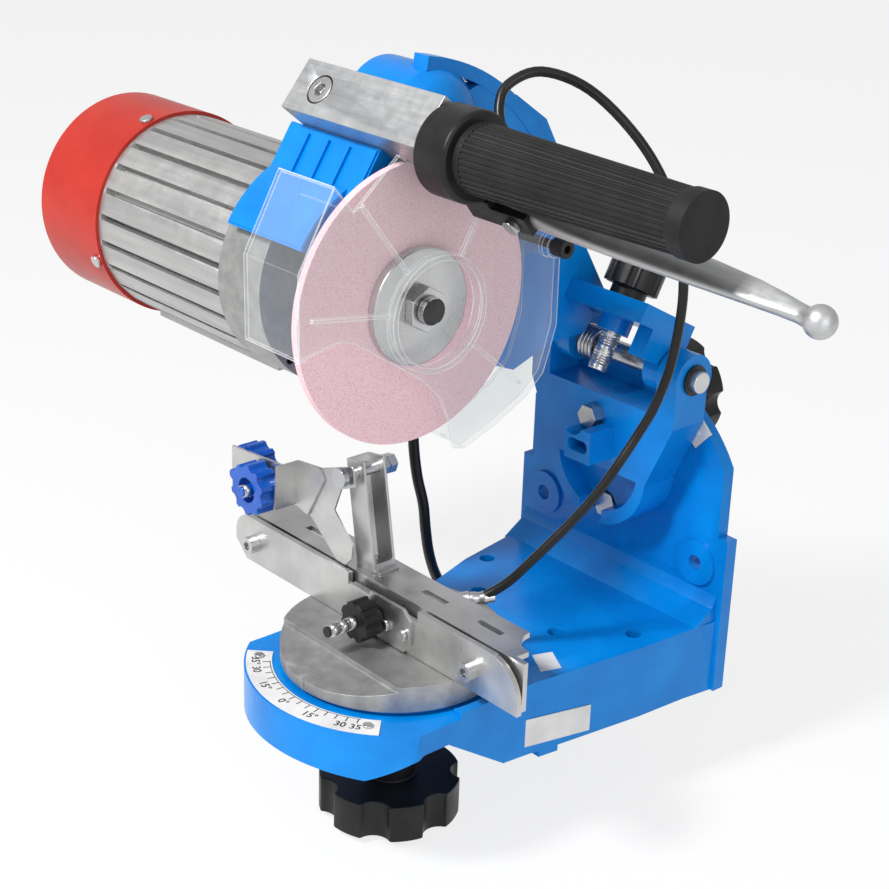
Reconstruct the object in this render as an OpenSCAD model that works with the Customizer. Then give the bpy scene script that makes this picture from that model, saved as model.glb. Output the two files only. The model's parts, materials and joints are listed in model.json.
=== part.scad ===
// Bench grinder for sharpening saw chains. A thin wheel on a swinging, tilting motor head comes down on
// a chain held in a long two-plate vise, which turns on a graduated disc.
// Millimetres, Z up. The parts are laid out about the vertical axis of the turning vise, the chain along X.

/* [Wheel and motor] */
// Outside diameter of the grinding wheel
wheel_d = 145; // [100:1:180]
// Bore of the grinding wheel
wheel_bore = 22.2; // [12:0.1:25.4]
// Thickness of the grinding wheel
wheel_t = 4.5; // [3:0.1:6.5]
// Height of the wheel and motor axis above the scale plate, head raised
wheel_z = 197; // [150:1:230]
// Wheel axis behind the turning axis, head raised
wheel_y = 6.5; // [-10:0.5:20]
// Diameter of the motor shaft
shaft_d = 14; // [8:0.5:20]
// Diameter of the motor housing over its fins
motor_d = 111; // [80:1:130]
// Number of cooling fins
fin_count = 24; // [12:1:36]
// Left end of the motor housing, next to the fan cover
motor_left = -200; // [-240:1:-150]
// Right end of the motor housing, next to the end shield
motor_right = -85; // [-100:1:-70]
// Outside diameter of the fan cover
cover_d = 115; // [90:1:140]
// Left end of the fan cover
cover_left = -255; // [-300:1:-220]

/* [Base] */
// Sideways offset of the base's middle from the turning axis
base_x = 4; // [-10:0.5:10]
// Radius of the round front boss
boss_r = 78.5; // [60:0.5:90]
// Height of the rear deck above the scale plate
deck_top = 3; // [0:0.5:8]
// Bench surface below the scale plate
bench_drop = 40; // [25:1:60]
// Front face of the upright wall
wall_y = 165; // [140:1:190]
// Height of the tilt axis above the scale plate
tilt_z = 50; // [30:1:70]
// Radius of the wall's round top about the tilt axis
wall_r = 84; // [70:1:100]
// Radius of the lock slot about the tilt axis
slot_r = 58; // [40:1:70]
// Diameter of the bolt holes in the deck and the wall
hole_d = 9; // [6:0.5:12]
// Distance between the two rear bench bolts
bench_pitch = 118; // [90:1:140]
// Distance between the two front bench bolts
front_pitch = 62; // [40:1:90]
// Rear bench bolts behind the turning axis
bench_y = 118; // [90:1:140]
// Front bench bolts behind the turning axis
front_y = 86; // [60:1:100]
// Diameter of the clamp knob under the base
clamp_knob_d = 77; // [50:1:90]

/* [Vise] */
// Diameter of the turning disc
disc_d = 119.2; // [90:0.2:140]
// Top of the turning disc above the scale plate
disc_top = 17; // [12:0.5:25]
// Thickness of the vise plates
plate_t = 3; // [2:0.5:5]
// Front face of the front vise plate
vise_y = -10; // [-20:0.5:0]
// Gap between the vise plates, for the chain's drive links
chain_gap = 2; // [1:0.1:3]
// Top of the vise plates above the scale plate
vise_top = 44; // [35:1:55]
// Left end of the vise plates
vise_left = -127; // [-150:1:-90]
// Right end of the vise plates
vise_right = 105; // [80:1:130]
// Diameter of the blue adjuster knobs
blue_knob_d = 29; // [20:1:40]

/* [Head] */
// Hinge pin behind the turning axis
hinge_y = 153.5; // [140:0.5:165]
// Hinge pin above the scale plate
hinge_z = 141.8; // [120:0.2:160]
// Diameter of the hinge pin
pin_d = 12; // [8:1:16]
// Angle of the head above its lowest place
raised = 28; // [0:1:40]
// Side of the square handle block
block_side = 28; // [20:1:40]
// Right end of the handle block
block_right = 30; // [15:1:45]
// Diameter of the ribbed grip at the collar
grip_d = 34; // [28:1:40]
// Diameter of the ribbed grip at its far end
grip_end_d = 29; // [24:1:34]
// Length of the ribbed grip
grip_l = 128; // [100:1:180]
// Diameter of the depth screw
depth_d = 10; // [6:1:12]
// Outside radius of the clear guard
guard_r = 87; // [78:1:100]

/* [Cables] */
// Diameter of the brake cable
cable_d = 5; // [4:0.5:7]
// Diameter of the mains cord
cord_d = 6.3; // [5:0.1:9]

/* [Hidden] */
$fn = 64;
shaft_r = shaft_d / 2;
motor_r = motor_d / 2;
pin_r = pin_d / 2;
hole_r = hole_d / 2;
run = 0.05;
bench_z = -bench_drop;
clear_y = wall_y - 0.35;
jaw_y = vise_y + plate_t + chain_gap;
handle_lean = raised + 10.6;
handle_y = -0.3;
handle_z = 286.8;
bar_drop = 5.3;
bar_r = 11;
collar_l = 22;
cap_l = 7.5;
grip_left = block_right + collar_l;
grip_right = grip_left + grip_l;
lever_side = 38;
lever_pivot = [64, 0, -31];
ball_x = grip_right + 50;
spring_r = 9;
depth_x = 9;
depth_y = -16.5;
lock_x = base_x;
post_x = -24;
post_lean = 10;
apron_z = 80;
wall_t = 8;
rivet_at = [-130, -50];
rivet_r = 1.4;
slide_screw_x = [8, 22];
shield_r = 56;
nose_r = 30;
cover_screw_r = 1.9;
cover_screw_x = motor_left - 3;
guard_screw = [84, 218];

// Where the brake cable leaves the lever's perch, and the ferrule it ends in beside the vise.
lever_back = [0, cos(lever_side), sin(lever_side)];
lever_down = [0, sin(lever_side), -cos(lever_side)];
cable_start = [block_right + 8, handle_y, handle_z - bar_drop] + 9.05 * lever_back + 29 * lever_down;
ferrule_at = [22.6, 28.9, 35.6];
ferrule_yaw = 50;
ferrule_lean = 78;
ferrule_dir = [cos(ferrule_yaw) * sin(ferrule_lean), sin(ferrule_yaw) * sin(ferrule_lean), cos(ferrule_lean)];

// Hand-picked points of the brake cable, over the head, down its right side and forward to the vise.
cable_points = [
    cable_start, cable_start + 5 * lever_back, [29, 34, 275], [22, 36, 284], [17, 39, 295],
    [16, 46, 306], [27, 60, 310.7],
    [46, 75, 303], [67, 90, 281], [78, 100, 257], [84, 108, 227],
    [84, 112, 201], [80, 112, 165], [77, 105, 144],
    [74, 98, 131], [71, 88, 115], [66, 80, 100], [59, 70, 84], [52, 60, 70], [45, 52, 57], [38, 45, 46],
    ferrule_at + 10 * ferrule_dir, ferrule_at + 3.05 * ferrule_dir
];

// Hand-picked points of the mains cord: down from the head, past the deck's edge and back along the bench.
cord_points = [
    [-22.05, 66, 176], [-32, 66, 176], [-42, 66, 175.5], [-51.5, 66, 172.5], [-60, 66.5, 166], [-66, 67, 156],
    [-69, 68, 144], [-70, 69, 131], [-70.5, 70, 117], [-71, 71, 100], [-71, 72.5, 80], [-69, 74, 62],
    [-65.5, 76, 46], [-64.5, 77.5, 30], [-65, 81, 14], [-67, 88, -2], [-70, 98, -16], [-74, 111, -27.5],
    [-79, 127, -35], [-85, 146, -36.7], [-92, 168, -36.7], [-97, 192, -36.7], [-96, 214, -36.7],
    [-91, 229, -36.7], [-89, 236, -36.7]
];
coil_at = [-42, 245];
coil_r = 35;
coil_band = 19;
coil_out = coil_r + coil_band / 2;
plug_turn = 25;

blue = [0.04, 0.45, 0.82];
grey = [0.5, 0.5, 0.5];
steel = [0.75, 0.76, 0.78];
black = [0.08, 0.08, 0.08];
red = [0.72, 0.14, 0.1];
pink = [0.93, 0.72, 0.74];
copper = [0.72, 0.4, 0.2];
white = [0.88, 0.88, 0.88];
clear = [0.9, 0.92, 0.93, 0.35];

// The frame: the origin is midway between the rear bench bolts, on the bench.
module at_origin() {
    translate([-base_x, -bench_y, bench_drop]) children();
}

// A sub-part in its colour, in that frame.
module painted(paint) {
    color(paint) at_origin() children();
}

module xcyl(x0, x1, r) {
    translate([x0, 0, 0]) rotate([0, 90, 0]) cylinder(h = x1 - x0, r = r);
}

module ycyl(y0, y1, r) {
    translate([0, y0, 0]) rotate([-90, 0, 0]) cylinder(h = y1 - y0, r = r);
}

// Flat shapes drawn in (y, z) and in (x, z).
module along_x(x0, x1) {
    translate([x0, 0, 0]) rotate([90, 0, 90]) linear_extrude(x1 - x0) children();
}

module along_y(y0, y1) {
    translate([0, y1, 0]) rotate([90, 0, 0]) linear_extrude(y1 - y0) children();
}

module box(x0, x1, y0, y1, z0, z1) {
    translate([x0, y0, z0]) cube([x1 - x0, y1 - y0, z1 - z0]);
}

module at_wheel() {
    translate([0, wheel_y, wheel_z]) children();
}

// The swinging head's own directions: upright when the head is down.
module at_hinge() {
    translate([0, hinge_y, hinge_z]) rotate([-raised, 0, 0]) children();
}

module at_handle() {
    translate([0, handle_y, handle_z]) rotate([-handle_lean, 0, 0]) children();
}

// The handle bar's axis, a little below the middle of its block.
module at_bar() {
    translate([0, handle_y, handle_z - bar_drop]) children();
}

// A sector of a ring, from angle a0 to a1, drawn in two dimensions.
module sector(r_in, r_out, a0, a1) {
    steps = ceil((a1 - a0) / 45);
    step = (a1 - a0) / steps;
    rays = [for (i = [0:steps]) 1.5 * r_out * [cos(a0 + i * step), sin(a0 + i * step)]];
    intersection() {
        difference() {
            circle(r_out, $fn = 96);
            circle(r_in, $fn = 96);
        }
        polygon(concat([[0, 0]], rays));
    }
}

// A round knob with grip hollows round its rim.
module lobed_knob(r, h, lobes) {
    difference() {
        cylinder(h = h, r = r);
        for (i = [0:lobes - 1])
            rotate([0, 0, i * 360 / lobes])
                translate([1.1 * r, 0, -1]) cylinder(h = h + 2, r = 0.24 * r, $fn = 24);
    }
}

function unit(v) = v / norm(v);

function square_to(u, v) = unit(u - (u * v) * v);

// A round tube along a list of points, closed at both ends. Each ring turns as little as possible.
module tube(points, d, sides = 10) {
    n = len(points);
    dirs = [for (i = [0:n - 1]) unit(points[min(i + 1, n - 1)] - points[max(i - 1, 0)])];
    start = square_to([0.31, 0.22, 0.92], dirs[0]);
    side = [for (i = 0, u = start; i < n; i = i + 1, u = square_to(u, dirs[min(i, n - 1)])) u];
    rings = [for (i = [0:n - 1]) let (u = side[i], w = cross(dirs[i], u))
        [for (k = [0:sides - 1]) points[i] + d / 2 * (cos(k * 360 / sides) * u + sin(k * 360 / sides) * w)]];
    walls = [for (i = [0:n - 2], k = [0:sides - 1]) let (m = (k + 1) % sides)
        [i * sides + k, i * sides + m, (i + 1) * sides + m, (i + 1) * sides + k]];
    ends = [[for (k = [0:sides - 1]) sides - 1 - k], [for (k = [0:sides - 1]) (n - 1) * sides + k]];
    polyhedron(points = [for (ring = rings, p = ring) p], faces = concat(ends, walls));
}

// ---- Base ----

// Plan of the base casting, drawn in by t all round.
module base_plan(t) {
    intersection() {
        circle(boss_r - t, $fn = 96);
        translate([-62 + t, -100]) square([130 - 2 * t, 200]);
    }
    polygon([
        [60 - t, -46], [68 - t, -11], [67 - t, 30], [73 - t, 78],
        [77 - t, 112], [79 - t, 145], [82 - t, 169 - t],
        [-74 + t, 169 - t], [-69 + t, 144], [-62 + t, 107], [-51 + t, 73],
        [-60 + t, 40], [-62 + t, -11], [-54 + t, -46]
    ]);
}

// Side view of the base below the wall: its lower edge rises at the front, with a hook for the bench edge.
module base_side() {
    polygon([
        [-90, -22], [-60, -26], [-36, -12], [-20, -12], [19, -38], [44, bench_z], [44, bench_z - 3.5],
        [56.5, bench_z - 3.5], [56.5, bench_z], [190, bench_z], [190, 20], [-90, 20]
    ]);
}

module wall_outline() {
    translate([base_x - 80, bench_z]) square([160, 52 - bench_z]);
    intersection() {
        translate([base_x, tilt_z]) circle(wall_r, $fn = 96);
        translate([base_x - 73, 40]) square([146, 120]);
    }
}

module arc_slot(half_width, a0, a1) {
    translate([base_x, tilt_z]) {
        sector(slot_r - half_width, slot_r + half_width, a0, a1);
        for (a = [a0, a1]) rotate(a) translate([slot_r, 0]) circle(half_width - 0.1, $fn = 32);
    }
}

module bench_holes(r, z0, z1) {
    for (side = [-1, 1]) {
        translate([base_x + side * bench_pitch / 2, bench_y, z0]) cylinder(h = z1 - z0, r = r);
        translate([base_x + side * front_pitch / 2, front_y, z0]) cylinder(h = z1 - z0, r = r);
    }
}

module base_casting() {
    painted(blue) {
        difference() {
            union() {
                // Skirt and deck.
                intersection() {
                    along_x(-90, 95) base_side();
                    difference() {
                        translate([0, 0, -60]) linear_extrude(60 + deck_top) base_plan(0);
                        translate([0, 0, -60]) linear_extrude(60 - 4) base_plan(6);
                    }
                }
                // Bosses under the deck, for the clamp bolt and the bench bolts.
                translate([0, 0, -30]) cylinder(h = 32, r = 20);
                bench_holes(10, bench_z, deck_top - 1);
                // Wall with its raised hole pads and the fillet along its foot.
                along_y(wall_y, wall_y + wall_t) wall_outline();
                for (side = [-1, 1])
                    translate([base_x + side * 60, 0, 33]) ycyl(wall_y - 2, wall_y + wall_t, 13);
                along_x(base_x - 76, base_x + 76) polygon([[148, 2], [166, 2], [166, 20], [162, 11]]);
            }
            // Recess round the turning disc, leaving a low land for it to turn on.
            difference() {
                union() {
                    cylinder(h = 20, r = 63);
                    box(-100, 100, -100, -12, 0, 20);
                }
                translate([0, 0, -1]) cylinder(h = 3.4, r = 56);
            }
            translate([0, 0, -40]) cylinder(h = 60, r = 6.2);
            bench_holes(hole_r, bench_z - 1, deck_top + 1);
            for (side = [-1, 1]) translate([base_x + side * 60, 0, 33]) ycyl(wall_y - 5, wall_y + 20, hole_r);
            along_y(wall_y - 5, wall_y + 20) arc_slot(4.4, 47, 119);
            translate([base_x, 0, tilt_z]) ycyl(wall_y - 5, wall_y + 20, 5.1);
            for (a = rivet_at)
                rotate([0, 0, a]) translate([70.5, 0, -2.2]) cylinder(h = 4, r = rivet_r + run, $fn = 24);
            // Window for the index plate.
            translate([base_x, wall_y, tilt_z]) rotate([0, 42, 0]) box(-6.3, 6.3, -1, 1.5, 69, 86);
        }
    }
}

module scale_plate() {
    painted(white) {
        translate([0, 0, 0]) linear_extrude(0.6) difference() {
            sector(63.6, 77.4, -135, -45);
            for (a = rivet_at) rotate(a) translate([70.5, 0]) circle(rivet_r + 0.1, $fn = 24);
        }
    }
}

module scale_rivets() {
    painted(steel) {
        for (a = rivet_at) rotate([0, 0, a]) translate([70.5, 0, -2]) {
            cylinder(h = 2.7, r = rivet_r, $fn = 24);
            translate([0, 0, 2.6]) cylinder(h = 1.4, r = 2.6, $fn = 24);
        }
    }
}

module index_plate() {
    painted(white) {
        translate([base_x, wall_y, tilt_z]) rotate([0, 42, 0]) {
            box(-6, 6, 0.2, 1.5, 70, 85);
            translate([0, 0, 77.5]) ycyl(-0.1, 1, 1.6, $fn = 24);
        }
    }
}

module clamp_bolt() {
    painted(steel) {
        translate([0, 0, -82]) cylinder(h = 90, r = 6);
        translate([0, 0, 6]) cylinder(h = 6, r = 10, $fn = 6);
    }
}

module clamp_washer() {
    painted(steel) {
        translate([0, 0, -32.2]) difference() {
            cylinder(h = 2, r = 16);
            translate([0, 0, -1]) cylinder(h = 4, r = 6.1);
        }
    }
}

module clamp_knob() {
    painted(black) {
        difference() {
            union() {
                translate([0, 0, -89]) lobed_knob(clamp_knob_d / 2, 21.5, 7);
                translate([0, 0, -88]) cylinder(h = 55.6, r = 14);
            }
            translate([0, 0, -93]) difference() {
                cylinder(h = 9, r = 29);
                cylinder(h = 9, r = 14);
            }
            translate([0, 0, -93]) cylinder(h = 80, r = 6 + run);
        }
    }
}

// ---- Chain vise ----

module turntable() {
    painted(grey) {
        difference() {
            union() {
                translate([0, 0, 2.7]) cylinder(h = 5.3, r = disc_d / 2, $fn = 96);
                intersection() {
                    translate([0, 0, 7]) cylinder(h = disc_top - 7, r = disc_d / 2, $fn = 96);
                    along_x(-70, 70)
                        polygon([[-60, 7], [-60, 8], [-36.5, 14],
                        [-36.5, disc_top], [60, disc_top], [60, 7]]);
                }
                // Pointer at the zero of the scale.
                along_x(-0.6, 0.6) polygon([[-60.2, 3], [-60.2, 8.3], [-50, 10.9], [-50, 8]]);
            }
            translate([0, 0, 0]) cylinder(h = 30, r = 6.2);
            translate([0, 0, 5.8]) cylinder(h = 30, r = 12);
        }
    }
}

// Block on the disc that carries the rear jaw.
module vise_block() {
    painted(grey) {
        difference() {
            box(-48, 48, jaw_y + plate_t, 17, disc_top, vise_top - plate_t);
            box(-18, 18, jaw_y + plate_t + 6, 20, disc_top - 1, vise_top - plate_t - 6);
            box(-14, 14, jaw_y - 1, 20, disc_top - 1, disc_top + 9);
        }
    }
}

module rear_jaw() {
    painted(steel) {
        difference() {
            union() {
                box(vise_left + 6, vise_right - 2, jaw_y, jaw_y + plate_t, disc_top + 0.3, vise_top);
                box(vise_left + 6, vise_right - 10, jaw_y, 20, vise_top - plate_t, vise_top);
            }
            for (x = [-109, 72]) translate([x, 0, 29.5]) ycyl(jaw_y - 1, jaw_y + plate_t + 1, 3.3);
            for (x = [-84, 14, 56]) box(x, x + 18, 6, 10, vise_top - plate_t - 1, vise_top + 1);
            translate([vise_right - 10, 20, vise_top - 10]) cylinder(h = 20, r = 14);
        }
    }
}

module front_outline() {
    translate([vise_left + 12, 32]) circle(12, $fn = 48);
    translate([vise_left, 27]) square([14, 5]);
    polygon([
        [vise_left, 27], [vise_left + 10, disc_top + 0.3], [vise_right, disc_top + 0.3], [vise_right, 24],
        [vise_right - 18, vise_top], [vise_left + 12, vise_top]
    ]);
    translate([vise_right - 22, 22]) circle(22, $fn = 64);
}

module front_jaw() {
    painted(steel) {
        difference() {
            along_y(vise_y, vise_y + plate_t) intersection() {
                front_outline();
                translate([vise_left, disc_top + 0.3])
                    square([vise_right - vise_left, vise_top - disc_top - 0.3]);
            }
            for (x = [-109, 72]) translate([x, 0, 29.5]) ycyl(vise_y - 1, vise_y + plate_t + 1, 3);
            box(-26, 30, vise_y - 1, vise_y + plate_t + 1, 37.5, vise_top + 1);
            for (x = slide_screw_x)
                translate([x, 0, 28]) ycyl(vise_y - 1, vise_y + plate_t + 1, 1.5, $fn = 24);
        }
    }
}

// Socket bolts fixed in the front jaw; they slide in the rear one and are drawn back by their nuts.
module jaw_bolts() {
    painted(steel) {
        for (x = [-109, 72]) translate([x, 0, 29.5]) {
            ycyl(vise_y, 12, 3);
            difference() {
                ycyl(vise_y - 6, vise_y, 5);
                ycyl(vise_y - 7, vise_y - 3, 2.6, $fn = 6);
            }
            ycyl(6, 11, 5.8, $fn = 6);
        }
    }
}

module slide_bracket() {
    painted(steel) {
        along_y(vise_y - 2, vise_y) difference() {
            polygon([[-6, 18], [22, 18], [27, 23], [27, 37], [21, 42], [-6, 42]]);
            translate([0, 31]) circle(3, $fn = 32);
            for (x = slide_screw_x) translate([x, 28]) circle(1.5, $fn = 24);
        }
        box(-22, 12, vise_y - 2, vise_y + plate_t - 1, 38, 40);
    }
}

module slide_screws() {
    painted(steel) {
        for (x = slide_screw_x) translate([x, 0, 28]) {
            ycyl(vise_y - 2, vise_y + plate_t, 1.5, $fn = 24);
            ycyl(vise_y - 4.2, vise_y - 2, 3.2, $fn = 32);
        }
    }
}

module slide_knob() {
    painted(black) {
        translate([0, 0, 31]) {
            translate([0, vise_y - 6, 0]) rotate([90, 0, 0]) lobed_knob(11, 11, 8);
            ycyl(-45, vise_y - 0.2, 2.95);
        }
    }
}

module stop_post() {
    painted(steel) {
        difference() {
            union() {
                translate([post_x, 0, vise_top]) rotate([0, -post_lean, 0]) difference() {
                    box(-7, 7, 0, 15, -6, 60);
                    box(-5.5, 8, 1.5, 13.5, 3, 70);
                    translate([0, 0, 53]) ycyl(-2, 20, 3.05);
                }
                box(-32, -13, 1, 14, vise_top - 2, vise_top + 1.5);
            }
            box(-60, 20, -5, 20, vise_top - 20, vise_top);
        }
    }
}

module post_bolt() {
    painted(steel) {
        translate([post_x, 0, vise_top]) rotate([0, -post_lean, 0]) translate([0, 0, 53]) {
            ycyl(-9, 26, 3);
            ycyl(15.05, 19.5, 5.5, $fn = 6);
            ycyl(20, 24.5, 5.5, $fn = 6);
            ycyl(-12, -8.6, 5.5);
        }
    }
}

// The pawl hangs in the chain gap from the post's bolt.
module pawl() {
    painted(steel) {
        along_y(-6.6, -5.4) difference() {
            union() {
                polygon([
                    [-58, 92], [-47, 95.5], [-37.5, 86.5], [-43, 73],
                    [-27, 58], [-28, 50], [-33, 44.6], [-40, 44.6],
                    [-71, 68.5], [-65, 76]
                ]);
                polygon([[-58, 92], [-28, 103], [-26, 92], [-44, 84]]);
            }
            translate([-33.2, 96.2]) circle(3.05, $fn = 32);
        }
    }
}

module pawl_arm() {
    painted(steel) {
        along_y(-8.3, -6.7) polygon([[-76, 66], [-64, 63], [-50, 88], [-54, 94], [-74, 91.5]]);
        along_y(-22, -8.2) polygon([[-76, 66], [-74.4, 65.6], [-72.6, 91.5], [-74, 91.5]]);
        along_y(-16, -14.4) difference() {
            polygon([[-74, 68], [-122, 62], [-122, 86], [-74, 90]]);
            for (p = [[-90, 74], [-112, 74]]) translate(p) circle(3.1, $fn = 32);
        }
    }
}

module adjuster(x, z, y_knob) {
    translate([x, 0, z]) {
        difference() {
            translate([0, y_knob, 0]) rotate([90, 0, 0]) lobed_knob(blue_knob_d / 2, 12, 10);
            ycyl(y_knob - 13, y_knob - 7, 7);
        }
        ycyl(y_knob - 16, y_knob + 10, 3);
    }
}

module front_adjuster() {
    painted(blue) {
        adjuster(-90, 74, -17.5);
    }
}

module rear_adjuster() {
    painted(blue) {
        translate([-112, -15.2, 74]) rotate([0, 0, 180]) adjuster(0, 0, -2.3);
    }
}

module cable_end() {
    painted(steel) {
        difference() {
            translate(ferrule_at) rotate([0, ferrule_lean, ferrule_yaw]) translate([0, 0, -9])
                cylinder(h = 12, r = 4.2);
            box(0, 40, 0, 20.4, 20, 60);
        }
        box(12, 26, 17.05, 19, disc_top, 41);
        box(12, 26, 17.05, 27, disc_top, disc_top + 2);
    }
}

// ---- Tilting bracket ----

module tilt_bracket() {
    painted(blue) {
        difference() {
            union() {
                // Curved apron against the wall, carrying the pivot and the lock bolt.
                along_y(140, clear_y) difference() {
                    union() {
                        translate([base_x + 3, apron_z]) circle(36, $fn = 96);
                        polygon([[-30, 78], [43, 78], [60, 116], [60, 132], [-48, 132], [-48, 116]]);
                    }
                    translate([base_x - 60, 20]) square([120, 22]);
                }
                // Stop block that the depth screw comes down on.
                box(-1, 18, 121.5, 141, 86, 105);
                // Ears of the hinge.
                for (x = [-48, 46]) translate([0, hinge_y, hinge_z]) xcyl(x, x + 14, 14);
                for (x = [-48, 46]) box(x, x + 14, 140, clear_y, 120, hinge_z);
            }
            // Hollow front of the apron.
            along_y(130, 152) translate([base_x + 3, apron_z + 2]) difference() {
                circle(30, $fn = 96);
                translate([-40, -4]) square([80, 60]);
            }
            box(-34, 46, 120, 170, 120.5, 160);
            for (x = [4.5, 12.5]) translate([x, 0, 95]) ycyl(120, 136, 3.5, $fn = 32);
            box(4.5, 12.5, 120, 136, 91.5, 98.5);
            translate([0, hinge_y, hinge_z]) xcyl(-60, 70, pin_r);
            translate([base_x, 0, tilt_z]) ycyl(130, 170, 5);
            translate([base_x, 0, tilt_z]) ycyl(130, 158, 9);
            translate([base_x, 0, tilt_z + slot_r]) ycyl(130, 170, 4);
            // Room for the lock bolt's head, and for the wall's round top behind the ears.
            translate([base_x, 0, tilt_z + slot_r]) ycyl(120, 140, 7.6);
            translate([base_x, 0, tilt_z]) ycyl(clear_y, 180, wall_r + 0.4);
        }
    }
}

module tilt_pivot() {
    painted(steel) {
        translate([base_x, 0, tilt_z]) {
            ycyl(151, wall_y + wall_t + 2, 5);
            ycyl(151, 157.9, 8.5, $fn = 6);
            ycyl(wall_y + wall_t + 0.3, wall_y + wall_t + 4, 8.5, $fn = 6);
        }
    }
}

module lock_bolt() {
    painted(steel) {
        translate([base_x, 0, tilt_z + slot_r]) {
            ycyl(136, wall_y + 32, 4);
            ycyl(132, 139.9, 7, $fn = 6);
        }
    }
}

module lock_knob() {
    painted(black) {
        translate([base_x, 0, tilt_z + slot_r]) difference() {
            union() {
                ycyl(wall_y + wall_t + 0.5, wall_y + 27, 12);
                translate([0, wall_y + 46, 0]) rotate([90, 0, 0]) lobed_knob(31, 20, 7);
            }
            ycyl(wall_y, wall_y + 33, 4.05);
        }
    }
}

module hinge_pin() {
    painted(steel) {
        translate([0, hinge_y, hinge_z]) xcyl(-53, 66, pin_r);
    }
}

module circlips() {
    painted(black) {
        translate([0, hinge_y, hinge_z]) for (x = [-50, 60.3]) difference() {
            xcyl(x, x + 1.2, 8.5);
            xcyl(x - 1, x + 3, pin_r);
        }
    }
}

// Torsion spring round the pin, between the head's two bearings.
module return_spring() {
    turns = [for (i = [0:72]) [i * 0.165 - 18.6, spring_r * sin(i * 22.5), spring_r * cos(i * 22.5)]];
    painted(steel) {
        translate([0, hinge_y, hinge_z]) tube(turns, 2.4, 8);
    }
}

// ---- Head ----

module head_arm_shape() {
    polygon([
        [-30, 236], [-8, 270], [20, 284], [56, 297], [83, 289],
        [105, 274], [115, 257], [127, 228], [130, 200],
        [143, 168], [150, 158], [142, 150], [118, 150], [90, 140],
        [60, 152], [40, 150], [-10, 150], [-46, 190]
    ]);
}

module head_casting() {
    painted(blue) {
        difference() {
            union() {
                // Web behind the wheel, with its rim.
                along_x(-22, -12) difference() {
                    head_arm_shape();
                    translate([wheel_y, wheel_z]) circle(30.2, $fn = 64);
                }
                at_wheel() along_x(-22, -11.5) sector(112, 119, -18, 82);
                // Front panel under the handle block, and its seat.
                along_x(-79.5, -10) polygon([
                    [-31, 235], [-6.7, 273.9], [1.9, 267.1], [19.4, 289],
                    [34, 284], [30, 262], [5, 262], [-14, 232]
                ]);
                along_x(-80, -76)
                    polygon([[-31, 235], [-6.7, 273.9], [30, 284], [52, 262], [62, 222], [-38, 226]]);
                // Ring round the motor's end shield.
                at_wheel() along_x(-78, -18) sector(58.5, 63, 20, 150);
                // Round housing behind the block.
                translate([0, 27.8, 281.8]) {
                    xcyl(-50, -13, 27);
                    translate([-13, 0, 0]) rotate([0, 90, 0]) cylinder(h = 8, r1 = 27, r2 = 22);
                    translate([-5, 0, 0]) rotate([0, 90, 0]) cylinder(h = 5, r1 = 22, r2 = 13);
                }
                // Arm down to the hinge, with the flange for the depth screw.
                at_hinge() {
                    box(-34, 44, -40, -2, 16, 27);
                    box(-34, -20, -40, 4, 0, 27);
                    box(34, 44, -28, 4, 0, 27);
                    for (x = [-34, 33.7]) xcyl(x + (x > 0 ? 0 : 0.3), x + 12, 12);
                    translate([depth_x, depth_y, 8]) cylinder(h = 19, r = 9);
                    along_x(-21.5, -12.5) polygon([[-70, 10], [-30, 14], [-8, 27], [-30, 40], [-64, 60]]);
                }
            }
            at_hinge() {
                xcyl(-60, 60, pin_r + run);
                translate([depth_x, depth_y, -10]) cylinder(h = 60, r = depth_d / 2 + 0.1);
            }
            // Seats of the motor's end shield and the handle block, and room for the wheel.
            at_wheel() xcyl(-90, -49.5, shield_r + run);
            at_wheel() xcyl(-60, -10, nose_r + run);
            at_wheel() xcyl(-8, 20, wheel_d / 2 + 3);
            at_handle() box(-100, 60, -60, block_side / 2, -block_side / 2, block_side / 2);
            // Ribs of the front panel.
            for (x = [-58, -34]) box(x, x + 14, -60, -22, 240, 290);
            translate([-52, 0, 0]) at_handle() ycyl(-10, 30, 4);
            at_guard_screw() xcyl(-40, 0, 2.5);
        }
    }
}

module end_shield() {
    painted(grey) {
        at_wheel() difference() {
            union() {
                xcyl(-85, -50, shield_r);
                xcyl(-50, -12.5, nose_r);
            }
            xcyl(-86, -56, 48);
            xcyl(-60, -10, 12.05);
            xcyl(-60, -24, 20.05);
            for (a = [45:90:315]) rotate([a, 0, 0]) translate([0, 0, 51.5]) xcyl(-90, -40, 2.5, $fn = 24);
        }
    }
}

module motor_housing() {
    painted(grey) {
        at_wheel() difference() {
            union() {
                xcyl(motor_left, motor_right, motor_r);
                box(motor_left + 3, motor_right, -18, 18, -motor_r - 1.5, -motor_r + 12);
            }
            xcyl(motor_left - 1, motor_right + 1, 44);
            for (i = [0:fin_count - 1]) rotate([i * 360 / fin_count + 7.5, 0, 0])
                if (abs(i * 360 / fin_count + 7.5 - 180) > 16)
                    box(motor_left + 4, motor_right + 1, -1.6, 1.6, motor_r - 7, motor_r + 5);
            for (y = [-9, 9]) box(motor_left - 1, motor_right + 1, y - 1, y + 1, -motor_r - 3, -motor_r + 1);
        }
    }
}

module rear_shield() {
    painted(grey) {
        at_wheel() difference() {
            union() {
                xcyl(motor_left - 6, motor_left, motor_r - 1);
                xcyl(motor_left - 14, motor_left, 22);
            }
            xcyl(motor_left - 20, motor_left - 12, 9);
            xcyl(motor_left - 12, motor_left + 1, 16.05);
            xcyl(motor_left - 20, motor_left + 1, 9);
            at_cover_screws() translate([0, 0, cover_d / 2 - 4.1])
                cylinder(h = 10, r = cover_screw_r + 0.1, $fn = 24);
        }
    }
}

// Where the fan cover is screwed to the rear shield.
module at_cover_screws() {
    for (a = [0:90:270]) rotate([a + 20, 0, 0]) translate([cover_screw_x, 0, 0]) children();
}

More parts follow.
